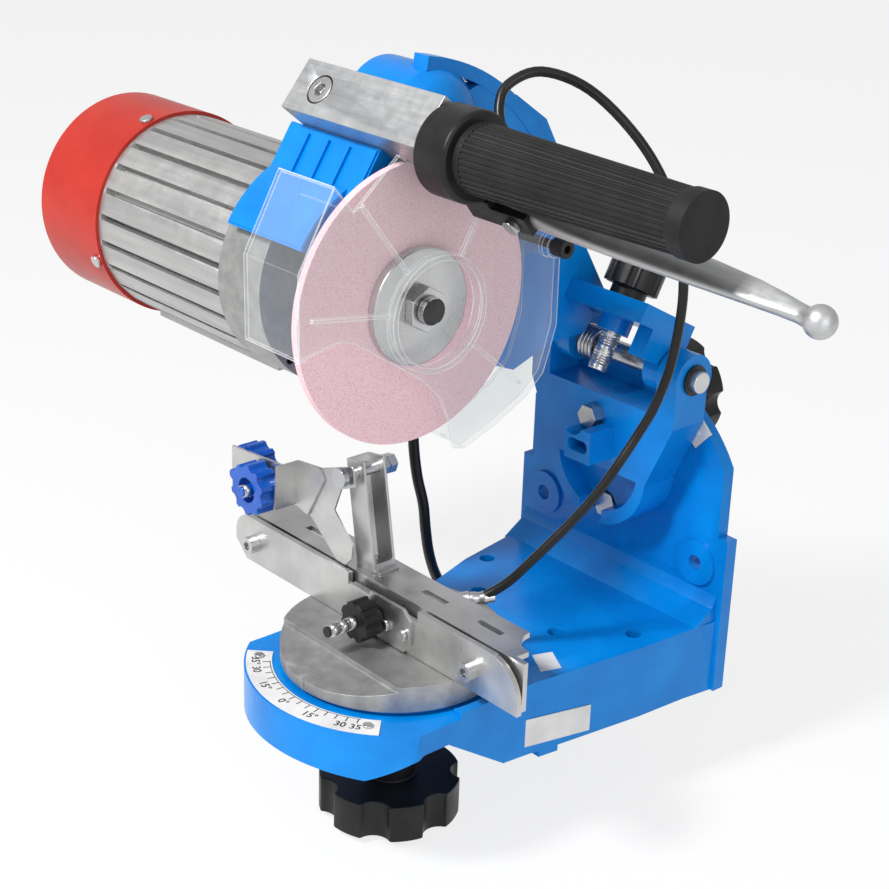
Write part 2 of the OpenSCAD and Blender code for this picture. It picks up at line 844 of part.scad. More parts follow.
module fan_cover() {
    painted(red) {
        at_wheel() difference() {
            xcyl(cover_left, motor_left + 2, cover_d / 2);
            xcyl(cover_left + 2, motor_left + 3, cover_d / 2 - 1.8);
            for (r = [16, 28, 40], i = [0:r / 2 - 1]) rotate([i * 720 / r, 0, 0]) translate([0, 0, r])
                xcyl(cover_left - 1, cover_left + 3, 2.6, $fn = 16);
            at_cover_screws() cylinder(h = 80, r = cover_screw_r + 0.1, $fn = 24);
        }
    }
}

module cover_screws() {
    painted(steel) {
        at_wheel() at_cover_screws() {
            translate([0, 0, cover_d / 2 - 4]) cylinder(h = 4, r = cover_screw_r, $fn = 24);
            translate([0, 0, cover_d / 2]) cylinder(h = 2, r = 3.6, $fn = 24);
        }
    }
}

// Core of the stator, with its end windings.
module stator() {
    painted(copper) {
        at_wheel() difference() {
            union() {
                xcyl(-178, -112, 44);
                xcyl(-194, -96, 40);
            }
            xcyl(-200, -90, 28);
        }
    }
}

module rotor() {
    painted(steel) {
        at_wheel() difference() {
            xcyl(-180, -110, 27);
            xcyl(-181, -109, shaft_r);
        }
    }
}

module shaft() {
    painted(steel) {
        at_wheel() difference() {
            xcyl(-240, 17, shaft_r);
            for (s = [-1, 1]) box(9, 20, -10, 10, s > 0 ? 6 : -12, s > 0 ? 12 : -6);
        }
    }
}

module bearings() {
    painted(steel) {
        at_wheel() {
            difference() {
                xcyl(-47, -35, 20);
                xcyl(-48, -34, shaft_r + run);
            }
            difference() {
                xcyl(motor_left - 11.9, motor_left - 1, 16);
                xcyl(motor_left - 13, motor_left, shaft_r + run);
            }
        }
    }
}

module fan() {
    painted(black) {
        at_wheel() difference() {
            union() {
                xcyl(-240, -220, 14);
                xcyl(-224, -222, 46);
                for (a = [0:45:315]) rotate([a, 0, 0]) box(-240, -223, -1, 1, 12, 46);
            }
            xcyl(-241, -215, shaft_r);
        }
    }
}

module inner_flange() {
    painted(steel) {
        at_wheel() difference() {
            union() {
                xcyl(-11.5, -wheel_t / 2, 30);
                xcyl(-wheel_t / 2 - 1, wheel_t / 2, wheel_bore / 2);
            }
            xcyl(-20, 10, shaft_r);
        }
    }
}

module wheel() {
    painted(pink) {
        at_wheel() difference() {
            xcyl(-wheel_t / 2, wheel_t / 2, wheel_d / 2, $fn = 128);
            xcyl(-5, 5, wheel_bore / 2);
        }
    }
}

module outer_flange() {
    painted(steel) {
        at_wheel() difference() {
            xcyl(wheel_t / 2, 7.5, 30);
            xcyl(0, 10, shaft_r);
        }
    }
}

module wheel_nut() {
    painted(steel) {
        at_wheel() difference() {
            xcyl(7.5, 13, 12, $fn = 6);
            xcyl(0, 20, shaft_r);
        }
    }
}

// A point of the guard's outline, at angle a about the wheel and so far outside the guard's radius.
function guard_point(a, out) = [wheel_y, wheel_z] + (guard_r + out) * [cos(a), sin(a)];

// Outline of the clear guard: its rim first, then its open lower edge, left of the wheel's rim.
guard_edge = [
    guard_point(-73.1, -6), guard_point(-57.4, -4.4), guard_point(-42, 1), guard_point(-32.3, 4),
    guard_point(-24.7, 2),
    guard_point(-15.2, 1), guard_point(16.5, 1), guard_point(28, -2), guard_point(44, -3.5),
    guard_point(63, -2.5),
    guard_point(81, -1), [14, 279], [1.9, 263.5], [-18, 278], [-25, 272], [-44, 255], guard_point(131, 8.4),
    guard_point(157.8, 2.8), guard_point(-173.6, -4),
    [-68, 190.5], [-53, 193.3], [-43, 191], [-18.5, 175], [0, 163], [11.5, 152], [17.6, 140], [23, 121]
];

// The same outline drawn in by a share of its distance from the wheel's axis.
module guard_outline(share) {
    c = [wheel_y, wheel_z];
    polygon([for (p = guard_edge) c + (p - c) * share]);
}

module at_guard_screw() {
    translate([0, guard_screw[0], guard_screw[1]]) children();
}

module guard() {
    painted(clear) {
        difference() {
            union() {
                // Face with a raised ring round the wheel nut.
                along_x(15, 17) difference() {
                    guard_outline(1);
                    translate([wheel_y, wheel_z]) circle(27);
                }
                at_wheel() along_x(15, 22) sector(27, 30, 0, 360);
                // Side walls: a deep one on the left, a shallow one round the right.
                along_x(-25, 16) guard_wall(131, 186);
                along_x(-9.5, 16) guard_wall(-73, 17);
                // Ribs on the face.
                for (a = [-40, 60, 128, 172])
                    at_wheel() rotate([a, 0, 0]) box(16, 19, 29, guard_r - 10, -0.9, 0.9);
                at_guard_screw() xcyl(-11.6, 21, 6.5);
            }
            at_guard_screw() xcyl(-20, 30, 2.5);
        }
    }
}

// The strip along the guard's outline between two angles about the wheel.
module guard_wall(a0, a1) {
    intersection() {
        difference() {
            guard_outline(1);
            guard_outline(0.976);
        }
        translate([wheel_y, wheel_z]) sector(wheel_d / 2 + 2.5, 130, a0, a1);
    }
}

module guard_screws() {
    painted(black) {
        at_guard_screw() {
            xcyl(-20, 21, 2.5);
            difference() {
                xcyl(21, 29, 5);
                xcyl(25, 30, 2.4, $fn = 6);
            }
        }
    }
}

module depth_screw() {
    painted(steel) {
        at_hinge() translate([depth_x, depth_y, -14]) cylinder(h = 76, r = depth_d / 2);
    }
}

module depth_knob() {
    painted(black) {
        at_hinge() translate([depth_x, depth_y, 27.3]) difference() {
            union() {
                cylinder(h = 6, r = 10);
                translate([0, 0, 6]) lobed_knob(15.5, 13, 7);
            }
            translate([0, 0, -1]) cylinder(h = 40, r = depth_d / 2 + run);
        }
    }
}

module handle_block() {
    painted(steel) {
        difference() {
            at_handle() difference() {
                box(-71.5, block_right, -block_side / 2, block_side / 2, -block_side / 2, block_side / 2);
                translate([-52, 0, 0]) ycyl(-20, -7, 8);
                translate([-52, 0, 0]) ycyl(-20, 20, 4);
            }
            at_bar() xcyl(0, block_right + 10, 8);
            at_wheel() xcyl(-5, 5, wheel_d / 2 + 2);
        }
    }
}

module block_screw() {
    painted(steel) {
        translate([-52, 0, 0]) at_handle() {
            ycyl(-7, 28, 4);
            difference() {
                ycyl(-14, -7, 7.2);
                ycyl(-15, -10, 3.6, $fn = 6);
            }
        }
    }
}

module collar() {
    painted(black) {
        at_bar() difference() {
            xcyl(block_right, grip_left, 22);
            xcyl(block_right - 2, grip_left + 2, bar_r);
        }
    }
}

module handle_bar() {
    painted(steel) {
        at_bar() {
            xcyl(2, block_right, 8);
            xcyl(block_right, grip_right - 3, bar_r);
        }
    }
}

// The ribbed grip, which narrows towards its far end, with its round cap.
module grip() {
    slope = (grip_d - grip_end_d) / 2 / grip_l;
    painted(black) {
        at_bar() difference() {
            union() {
                translate([grip_left, 0, 0]) rotate([0, 90, 0])
                    cylinder(h = grip_l, r1 = grip_d / 2, r2 = grip_end_d / 2);
                xcyl(grip_right, grip_right + cap_l, grip_end_d / 2 + 0.8);
            }
            xcyl(grip_left - 5, grip_right - 3, bar_r);
            for (i = [0:35]) rotate([i * 10, 0, 0]) translate([grip_left + 4, 0, grip_d / 2 + 0.3])
                rotate([0, 90 + atan(slope), 0]) cylinder(h = grip_l - 6, r = 1.1, $fn = 8);
        }
    }
}

// Bracket for the brake lever, hung under the collar.
module at_perch() {
    at_bar() rotate([lever_side, 0, 0]) children();
}

module lever_perch() {
    painted(black) {
        at_perch() difference() {
            union() {
                box(block_right + 3, grip_left - 0.5, -9, 9, -36, -21);
                box(block_right + 14, grip_left + 22, -9, 9, -36, -25);
            }
            xcyl(20, grip_left, 22);
            box(grip_left + 2, grip_left + 30, -5.3, 5.3, -40, -20);
            translate(lever_pivot) ycyl(-20, 20, 2.5);
        }
    }
}

module lever() {
    painted(steel) {
        at_perch() difference() {
            union() {
                translate(lever_pivot) ycyl(-5, 5, 6.5);
                along_y(-6.5, 6.5) polygon([
                    [69, -25.5], [108, -29], [155, -31], [197, -34.5], [ball_x - 5, -40], [ball_x - 4, -44],
                    [197, -38.5], [155, -35], [108, -33.5], [69, -36]
                ]);
                translate([ball_x, 0, -43.2]) sphere(7.4, $fn = 32);
            }
            translate(lever_pivot) ycyl(-20, 20, 2.55);
            for (side = [-1, 1]) box(50, 77, side > 0 ? 5 : -9, side > 0 ? 9 : -5, -45, -20);
        }
    }
}

module lever_pin() {
    painted(steel) {
        at_perch() translate(lever_pivot) {
            ycyl(-10, 10, 2.5);
            ycyl(-12.5, -9, 4.2);
        }
    }
}

// ---- Cables ----

module brake_cable() {
    painted(black) {
        tube(cable_points, cable_d);
    }
}

module mains_cord() {
    painted(black) {
        tube(cord_points, cord_d);
    }
}

module cord_coil() {
    painted(black) {
        translate([coil_at[0], coil_at[1], bench_z]) rotate_extrude($fn = 48)
            translate([coil_r - coil_band / 2, 0]) square([coil_band, coil_band]);
    }
}

// Flat two-pin mains plug, its tail leaving the coil along the outer turn.
module cord_plug() {
    painted(black) {
        translate([coil_at[0], coil_at[1], bench_z]) difference() {
            rotate([0, 0, plug_turn]) translate([cord_d / 2 - coil_out, 0, 0]) {
                translate([0, 0, 6.5]) ycyl(12, 41, 4.5, $fn = 24);
                box(-16, 16, 40, 69, 0, 13);
                for (x = [-9.5, 9.5])
                    translate([x, 0, 6.5]) ycyl(68, 88, 2, $fn = 24);
            }
            cylinder(h = 30, r = coil_out);
        }
    }
}

// ---- Drawing ----

base_casting();
scale_plate();
scale_rivets();
index_plate();
clamp_bolt();
clamp_washer();
clamp_knob();
turntable();
vise_block();
rear_jaw();
front_jaw();
jaw_bolts();
slide_bracket();
slide_screws();
slide_knob();
stop_post();
post_bolt();
pawl();
pawl_arm();
front_adjuster();
rear_adjuster();
cable_end();
tilt_bracket();
tilt_pivot();
lock_bolt();
lock_knob();
hinge_pin();
circlips();
return_spring();
head_casting();
end_shield();
motor_housing();
rear_shield();
fan_cover();
cover_screws();
stator();
rotor();
shaft();
bearings();
fan();
inner_flange();
wheel();
outer_flange();
wheel_nut();
guard();
guard_screws();
depth_screw();
depth_knob();
handle_block();
block_screw();
collar();
handle_bar();
grip();
lever_perch();
lever();
lever_pin();
brake_cable();
mains_cord();
cord_coil();
cord_plug();
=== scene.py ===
import json
import math

import bmesh
import bpy
from mathutils import Matrix, Vector


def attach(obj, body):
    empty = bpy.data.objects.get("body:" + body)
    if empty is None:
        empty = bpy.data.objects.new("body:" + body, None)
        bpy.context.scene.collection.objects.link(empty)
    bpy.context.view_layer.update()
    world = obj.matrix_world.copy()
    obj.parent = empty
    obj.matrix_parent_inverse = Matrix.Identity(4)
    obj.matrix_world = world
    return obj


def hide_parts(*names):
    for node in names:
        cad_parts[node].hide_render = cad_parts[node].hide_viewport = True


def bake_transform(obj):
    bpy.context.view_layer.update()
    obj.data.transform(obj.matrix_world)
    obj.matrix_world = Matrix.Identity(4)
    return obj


# A bench grinder for sharpening saw chains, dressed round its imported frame.
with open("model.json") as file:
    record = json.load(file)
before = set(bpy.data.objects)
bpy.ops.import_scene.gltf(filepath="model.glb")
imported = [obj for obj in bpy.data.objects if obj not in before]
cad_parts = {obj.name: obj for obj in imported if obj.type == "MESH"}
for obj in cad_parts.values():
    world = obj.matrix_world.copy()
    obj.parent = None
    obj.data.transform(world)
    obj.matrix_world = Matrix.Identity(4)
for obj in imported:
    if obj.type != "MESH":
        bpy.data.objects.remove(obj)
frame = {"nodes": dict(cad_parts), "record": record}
NODES = frame["nodes"]
RECORD = frame["record"]
BODY_OF = {node: body for body, nodes in RECORD["behaviour"]["bodies"].items() for node in nodes}
SLOT_OF = {part["node"]: part["material_slot"] for part in RECORD["subparts"]}
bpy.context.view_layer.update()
MM = 0.001
BLUE = "blue_paint"
PRINTED = "printed_plate"

# ---- The frame's own places, in millimetres about the vise's turning axis ----
ORIGIN = Vector((4.0, 118.0, -40.0))
RAISED = math.radians(28)
WHEEL = Vector((0.0, 6.5, 197.0))
HINGE = Vector((0.0, 153.5, 141.8))
HANDLE = Vector((0.0, -0.3, 281.5))
LEVER_SIDE = math.radians(38)
BENCH_Z = -40.0


def place(x, y, z):
    """A point given in millimetres about the vise's axis, in the frame in metres."""
    return (Vector((x, y, z)) - ORIGIN) * MM


def at_hinge(x, y, z):
    """A point in the swinging head's own directions, in millimetres about the vise's axis."""
    return HINGE + Matrix.Rotation(-RAISED, 3, "X") @ Vector((x, y, z))


def at_perch(x, y, z):
    """A point in the brake lever's own directions, in millimetres about the vise's axis."""
    return HANDLE + Matrix.Rotation(LEVER_SIDE, 3, "X") @ Vector((x, y, z))


# ---- Materials ----
# Width in millimetres of the painted highlight along the clear guard's edges.
CLEAR_HIGHLIGHT_EDGE = 1.3


def math_node(tree, operation, *values):
    """A math node over sockets or plain numbers; returns its result."""
    node = tree.nodes.new("ShaderNodeMath")
    node.operation = operation
    for socket, value in zip(node.inputs, values):
        if isinstance(value, bpy.types.NodeSocket):
            tree.links.new(value, socket)
        else:
            socket.default_value = value
    return node.outputs["Value"]


def mix_shaders(tree, share, first, second):
    """The first shader where share is 0 and the second where it is 1."""
    mix = tree.nodes.new("ShaderNodeMixShader")
    for value, socket in ((share, "Fac"), (first, 1), (second, 2)):
        tree.links.new(value, mix.inputs[socket])
    return mix.outputs["Shader"]


def start_material(name, base, metallic=0.0, rough=0.5, coat=0.0, coat_rough=0.05):
    mat = bpy.data.materials.new(name)
    mat.use_nodes = True
    shader = mat.node_tree.nodes["Principled BSDF"]
    shader.inputs["Base Color"].default_value = (*base, 1)
    shader.inputs["Metallic"].default_value = metallic
    shader.inputs["Roughness"].default_value = rough
    shader.inputs["Coat Weight"].default_value = coat
    shader.inputs["Coat Roughness"].default_value = coat_rough
    return mat, shader


def pattern(mat, kind, scale, stretch=(1, 1, 1), detail=4.0, rough=0.55):
    """A noise or cell pattern in object coordinates; returns its value."""
    tree = mat.node_tree
    coords = tree.nodes.new("ShaderNodeTexCoord")
    mapping = tree.nodes.new("ShaderNodeMapping")
    mapping.inputs["Scale"].default_value = stretch
    tex = tree.nodes.new("ShaderNodeTexNoise" if kind == "noise" else "ShaderNodeTexVoronoi")
    tex.inputs["Scale"].default_value = scale
    if kind == "noise":
        tex.inputs["Detail"].default_value = detail
        tex.inputs["Roughness"].default_value = rough
    tree.links.new(coords.outputs["Object"], mapping.inputs["Vector"])
    tree.links.new(mapping.outputs["Vector"], tex.inputs["Vector"])
    return tex.outputs["Fac" if kind == "noise" else "Distance"]


def ramp(mat, value, stops):
    """Stops are (place, value or colour)."""
    node = mat.node_tree.nodes.new("ShaderNodeValToRGB")
    elements = node.color_ramp.elements
    while len(elements) < len(stops):
        elements.new(0.5)
    for element, (at, colour) in zip(elements, stops):
        element.position = at
        grey = not hasattr(colour, "__len__")
        element.color = (colour, colour, colour, 1) if grey else (*colour, 1)
    mat.node_tree.links.new(value, node.inputs["Fac"])
    return node.outputs["Color"]


def colour_from(mat, shader, value, stops):
    mat.node_tree.links.new(ramp(mat, value, stops), shader.inputs["Base Color"])


def rough_from(mat, shader, value, low, high):
    mat.node_tree.links.new(ramp(mat, value, [(0.3, low), (0.7, high)]), shader.inputs["Roughness"])


def bump_from(mat, shader, values, distance=0.0004):
    """values is a list of (pattern, strength), laid one over another."""
    tree = mat.node_tree
    last = None
    for value, strength in values:
        bump = tree.nodes.new("ShaderNodeBump")
        bump.inputs["Strength"].default_value = strength
        bump.inputs["Distance"].default_value = distance
        tree.links.new(value, bump.inputs["Height"])
        if last:
            tree.links.new(last, bump.inputs["Normal"])
        last = bump.outputs["Normal"]
    tree.links.new(last, shader.inputs["Normal"])


def paint(name, dark, light, rough=0.22):
    """Gloss paint over a casting: soft waves, a fine orange peel and a few dull places."""
    mat, shader = start_material(name, light, rough=rough, coat=0.08, coat_rough=0.06)
    shader.inputs["Specular IOR Level"].default_value = 0.22
    waves = pattern(mat, "noise", 55, detail=2)
    peel = pattern(mat, "noise", 900, detail=2)
    colour_from(mat, shader, pattern(mat, "noise", 30, detail=5), [(0.3, dark), (0.7, light)])
    rough_from(mat, shader, pattern(mat, "noise", 18), rough, rough + 0.12)
    bump_from(mat, shader, [(waves, 0.3), (peel, 0.08)])
    return mat


def cast_metal(name, dark, light, rough=0.45):
    mat, shader = start_material(name, light, metallic=0.85, rough=rough)
    grain = pattern(mat, "noise", 1400, detail=3)
    colour_from(mat, shader, pattern(mat, "noise", 120), [(0.25, dark), (0.75, light)])
    rough_from(mat, shader, grain, rough - 0.08, rough + 0.15)
    bump_from(mat, shader, [(grain, 0.12), (pattern(mat, "cells", 500), 0.08)])
    return mat


def rolled_metal(name, dark, light, rough=0.3):
    """Plated or drawn metal with fine lines along one direction and cloudy patches."""
    mat, shader = start_material(name, light, metallic=0.95, rough=rough)
    lines = pattern(mat, "noise", 1600, stretch=(0.04, 1, 1), detail=3)
    clouds = pattern(mat, "noise", 35, detail=5)
    colour_from(mat, shader, clouds, [(0.3, dark), (0.7, light)])
    rough_from(mat, shader, clouds, rough - 0.06, rough + 0.14)
    bump_from(mat, shader, [(lines, 0.12)], distance=0.0002)
    return mat


def plastic(name, dark, light, rough=0.42, coat=0.0, grain=0.12):
    mat, shader = start_material(name, light, rough=rough, coat=coat)
    shader.inputs["Specular IOR Level"].default_value = 0.28
    fine = pattern(mat, "noise", 2200, detail=2)
    colour_from(mat, shader, pattern(mat, "noise", 50), [(0.3, dark), (0.7, light)])
    rough_from(mat, shader, pattern(mat, "noise", 90), rough - 0.05, rough + 0.12)
    bump_from(mat, shader, [(fine, grain)], distance=0.0002)
    return mat


def abrasive(name):
    """Bonded pink grit: coarse grains, some pale and some dark."""
    mat, shader = start_material(name, (0.85, 0.55, 0.6), rough=0.9)
    grains = pattern(mat, "cells", 1300)
    stops = [(0.0, (0.92, 0.7, 0.74)), (0.5, (0.85, 0.57, 0.62)), (0.95, (0.72, 0.43, 0.48))]
    colour_from(mat, shader, grains, stops)
    rough_from(mat, shader, pattern(mat, "noise", 400), 0.8, 1.0)
    bump_from(mat, shader, [(grains, 0.35), (pattern(mat, "noise", 1500), 0.3)])
    return mat


def edge_highlight_or(mat, value, radius):
    """The larger of a value and a painted highlight mask that is high within a radius of any edge of the
    piece.
    """
    tree = mat.node_tree
    rounded_off = tree.nodes.new("ShaderNodeBevel")
    rounded_off.inputs["Radius"].default_value = radius
    flat = tree.nodes.new("ShaderNodeNewGeometry")
    agree = tree.nodes.new("ShaderNodeVectorMath")
    agree.operation = "DOT_PRODUCT"
    tree.links.new(rounded_off.outputs["Normal"], agree.inputs[0])
    tree.links.new(flat.outputs["Normal"], agree.inputs[1])
    # Painted highlight: high near every edge, low on open faces.
    painted_edge_highlight = ramp(mat, agree.outputs["Value"], [(0.0, 0.8), (0.86, 0.7), (0.995, 0.0)])
    return math_node(tree, "MAXIMUM", value, painted_edge_highlight)


def clear_plastic(name):
    """Moulded clear plastic: see-through face on, with a painted highlight that makes it pale and opaque
    along its edges and a painted sheen where it turns away.
    """
    mat, shader = start_material(name, (0.82, 0.84, 0.84), rough=0.08)
    shader.inputs["Specular IOR Level"].default_value = 0.9
    bump_from(mat, shader, [(pattern(mat, "noise", 30), 0.14)])
    rough_from(mat, shader, pattern(mat, "noise", 70), 0.05, 0.14)
    tree = mat.node_tree
    thin = tree.nodes.new("ShaderNodeBsdfTransparent")
    thin.inputs["Color"].default_value = (0.96, 0.97, 0.97, 1)
    turned = tree.nodes.new("ShaderNodeLayerWeight")
    turned.inputs["Blend"].default_value = 0.35
    # Painted sheen: the surface turns pale and opaque where it faces away from the view.
    body = ramp(mat, turned.outputs["Facing"], [(0.0, 0.05), (0.55, 0.09), (0.85, 0.4), (1.0, 0.8)])
    # Painted highlight along every edge, laid over the painted sheen.
    share = edge_highlight_or(mat, body, CLEAR_HIGHLIGHT_EDGE * MM)
    mixed = mix_shaders(tree, share, thin.outputs["BSDF"], shader.outputs["BSDF"])
    tree.links.new(mixed, tree.nodes["Material Output"].inputs["Surface"])
    return mat


def drawn_aluminium(name, dark, light, rough=0.34):
    """Raw aluminium as it leaves the saw or the die: streaks along its length and a few bright scuffs."""
    mat, shader = start_material(name, light, metallic=0.8, rough=rough)
    streaks = pattern(mat, "noise", 260, stretch=(0.05, 1, 1), detail=6, rough=0.6)
    scuffs = pattern(mat, "noise", 90, detail=8, rough=0.75)
    colour_from(mat, shader, streaks, [(0.3, dark), (0.7, light)])
    rough_from(mat, shader, scuffs, rough - 0.08, rough + 0.16)
    bump_from(mat, shader, [(streaks, 0.2), (scuffs, 0.1)], distance=0.0002)
    return mat


BLACK = ((0.006, 0.006, 0.006), (0.014, 0.014, 0.014))
MATERIALS = {
    "blue_paint": paint("blue_paint", (0.0, 0.17, 0.56), (0.001, 0.23, 0.68)),
    "grey_casting": cast_metal("grey_casting", (0.3, 0.3, 0.3), (0.45, 0.45, 0.44)),
    "zinc_plate": rolled_metal("zinc_plate", (0.45, 0.45, 0.45), (0.66, 0.66, 0.65)),
    "steel": rolled_metal("steel", (0.45, 0.45, 0.46), (0.66, 0.66, 0.66), rough=0.26),
    "aluminium": drawn_aluminium("aluminium", (0.4, 0.41, 0.42), (0.6, 0.6, 0.6)),
    "black_plastic": plastic("black_plastic", *BLACK, rough=0.36),
    "black_rubber": plastic("black_rubber", *BLACK, rough=0.5),
    "black_oxide": plastic("black_oxide", (0.01, 0.01, 0.01), (0.03, 0.03, 0.03), rough=0.3),
    "blue_plastic": plastic("blue_plastic", (0.003, 0.06, 0.36), (0.005, 0.1, 0.48), rough=0.22, coat=0.4),
    "red_paint": paint("red_paint", (0.38, 0.02, 0.012), (0.47, 0.032, 0.02), rough=0.3),
    "abrasive": abrasive("abrasive"),
    "clear_plastic": clear_plastic("clear_plastic"),
    "copper": rolled_metal("copper", (0.4, 0.16, 0.06), (0.6, 0.28, 0.12)),
    "printed_plate": plastic(
        "printed_plate", (0.6, 0.6, 0.6), (0.74, 0.74, 0.74), rough=0.34, coat=0.2, grain=0.05
    ),
}
EXTRUSION = drawn_aluminium("extrusion", (0.42, 0.42, 0.42), (0.56, 0.56, 0.55), rough=0.4)
DARK_STEEL = rolled_metal("dark_steel", (0.03, 0.03, 0.03), (0.08, 0.08, 0.08), rough=0.35)
OWN_MATERIAL = {"motor_housing": EXTRUSION, "shaft": DARK_STEEL}
INK = plastic("ink", (0.012, 0.012, 0.012), (0.03, 0.03, 0.03), rough=0.5, grain=0.04)
CORD_SKIN = plastic("cord_skin", (0.006, 0.006, 0.006), (0.012, 0.012, 0.012), rough=0.3, grain=0.06)


# ---- Making pieces ----
def angles_round(count):
    return [2 * math.pi * k / count for k in range(count)]


def squarish(angle, power):
    """The cosine and sine of an angle, pushed out towards a square by a power below 1."""
    c, s = math.cos(angle), math.sin(angle)
    return math.copysign(abs(c) ** power, c), math.copysign(abs(s) ** power, s)


def add_object(name, mesh):
    obj = bpy.data.objects.new(name, mesh)
    bpy.context.scene.collection.objects.link(obj)
    return obj


def smooth(mesh, angle):
    for face in mesh.polygons:
        face.use_smooth = True
    mesh.set_sharp_from_angle(angle=math.radians(angle))


def finish_piece(obj, body, slot, material=None, replaced=()):
    """Gives a piece its material, chosen by slot unless one is given, and its body; body is None for a piece
    left on no body.
    """
    obj.data.materials.clear()
    obj.data.materials.append(material or MATERIALS[slot])
    if body:
        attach(obj, body)
    if replaced:
        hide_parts(*replaced)
    return obj


def mesh_piece(name, vertices, faces, body, slot, material=None, replaced=(), angle=35):
    mesh = bpy.data.meshes.new(name)
    mesh.from_pydata(vertices, [], faces)
    build = bmesh.new()
    build.from_mesh(mesh)
    bmesh.ops.recalc_face_normals(build, faces=build.faces)
    build.to_mesh(mesh)
    build.free()
    smooth(mesh, angle)
    return finish_piece(add_object(name, mesh), body, slot, material, replaced)


def rounded(node, width, angle=32):
    """A copy of a CAD node with its edges rounded, which replaces the node."""
    mesh = NODES[node].data.copy()
    mesh.transform(NODES[node].matrix_world)
    build = bmesh.new()
    build.from_mesh(mesh)
    bmesh.ops.remove_doubles(build, verts=build.verts, dist=0.002 * MM)
    bmesh.ops.dissolve_limit(build, angle_limit=math.radians(0.6), verts=build.verts, edges=build.edges)
    build.to_mesh(mesh)
    build.free()
    smooth(mesh, angle)
    obj = add_object(f"{node}_finished", mesh)
    bevel = obj.modifiers.new("rounding", "BEVEL")
    bevel.width = width * MM
    bevel.segments = 2
    bevel.limit_method = "ANGLE"
    bevel.angle_limit = math.radians(angle)
    bevel.use_clamp_overlap = True
    bevel.harden_normals = True
    return finish_piece(obj, BODY_OF[node], SLOT_OF[node], OWN_MATERIAL.get(node), [node])


def smooth_path(points, steps=6):
    """A smooth run of points through the given ones."""
    given = [Vector(p) for p in points]
    given = [2 * given[0] - given[1], *given, 2 * given[-1] - given[-2]]
    path = []
    for a, b, c, d in zip(given, given[1:], given[2:], given[3:]):
        for i in range(steps):
            t = i / steps
            bend = 2 * a - 5 * b + 4 * c - d
            twist = 3 * b - a - 3 * c + d
            path.append(0.5 * (2 * b + (c - a) * t + bend * t**2 + twist * t**3))
    return path + [given[-2]]


def rings_along(path, radii, sides):
    """Rings of points square to a path, each turned as little as possible from the last."""
    rings = []
    side = None
    for i, (at, radius) in enumerate(zip(path, radii)):
        direction = (path[min(i + 1, len(path) - 1)] - path[max(i - 1, 0)]).normalized()
        if side is None:
            side = direction.orthogonal().normalized()
        side = (side - direction * side.dot(direction)).normalized()
        other = direction.cross(side)
        rings.append([at + radius * (math.cos(a) * side + math.sin(a) * other) for a in angles_round(sides)])
    return rings


def skin(rings):
    """Vertices and faces of a closed skin over rings of equal size."""
    sides = len(rings[0])
    vertices = [place(*p) for ring in rings for p in ring]
    faces = []
    for i in range(len(rings) - 1):
        for k in range(sides):
            m = (k + 1) % sides
            faces.append((i * sides + k, i * sides + m, (i + 1) * sides + m, (i + 1) * sides + k))
    faces.append(tuple(range(sides - 1, -1, -1)))
    faces.append(tuple(range(len(vertices) - sides, len(vertices))))
    return vertices, faces


def tube_piece(name, path, radii, body, slot, material=None, replaced=(), sides=16):
    vertices, faces = skin(rings_along(path, radii, sides))
    return mesh_piece(name, vertices, faces, body, slot, material, replaced, angle=50)


# ---- Geometry Nodes ----
def node_tree(name, inputs):
    """A geometry tree with float inputs; returns the tree and its input and output nodes."""
    tree = bpy.data.node_groups.new(name, "GeometryNodeTree")
    for title, value in inputs.items():
        socket = tree.interface.new_socket(title, in_out="INPUT", socket_type="NodeSocketFloat")
        socket.default_value = value
    tree.interface.new_socket("Geometry", in_out="OUTPUT", socket_type="NodeSocketGeometry")
    return tree, tree.nodes.new("NodeGroupInput"), tree.nodes.new("NodeGroupOutput")


def end_tree(tree, geometry, output, material):
    realize = tree.nodes.new("GeometryNodeRealizeInstances")
    paint_it = tree.nodes.new("GeometryNodeSetMaterial")
    paint_it.inputs["Material"].default_value = material
    tree.links.new(geometry, realize.inputs["Geometry"])
    tree.links.new(realize.outputs["Geometry"], paint_it.inputs["Geometry"])
    tree.links.new(paint_it.outputs["Geometry"], output.inputs["Geometry"])


def bake(name, tree, settings, matrix):
    """The tree's result as a plain mesh object in the row frame."""
    maker = add_object(f"{name}_maker", bpy.data.meshes.new(f"{name}_maker"))
    modifier = maker.modifiers.new("nodes", "NODES")
    modifier.node_group = tree
    for item in tree.interface.items_tree:
        if item.in_out == "INPUT" and item.name in settings:
            modifier[item.identifier] = settings[item.name]
    bpy.context.view_layer.update()
    evaluated = maker.evaluated_get(bpy.context.evaluated_depsgraph_get())
    mesh = bpy.data.meshes.new_from_object(evaluated)
    mesh.name = name
    mesh.transform(matrix)
    bpy.data.objects.remove(maker)
    return add_object(name, mesh)


def thread_tree(material):
    """A thread's ridge: a three-sided wire wound along Z."""
    inputs = {"Radius": 0.003, "Turns": 10.0, "Height": 0.01, "Depth": 0.0005}
    tree, source, output = node_tree("thread", inputs)
    spiral = tree.nodes.new("GeometryNodeCurveSpiral")
    spiral.inputs["Resolution"].default_value = 24
    feeds = {"Rotations": "Turns", "Start Radius": "Radius", "End Radius": "Radius", "Height": "Height"}
    for socket, name in feeds.items():
        tree.links.new(source.outputs[name], spiral.inputs[socket])
    wire = tree.nodes.new("GeometryNodeCurvePrimitiveCircle")
    wire.inputs["Resolution"].default_value = 3
    tree.links.new(source.outputs["Depth"], wire.inputs["Radius"])
    sweep = tree.nodes.new("GeometryNodeCurveToMesh")
    sweep.inputs["Fill Caps"].default_value = True
    tree.links.new(spiral.outputs["Curve"], sweep.inputs["Curve"])
    tree.links.new(wire.outputs["Curve"], sweep.inputs["Profile Curve"])
    end_tree(tree, sweep.outputs["Mesh"], output, material)
    return tree


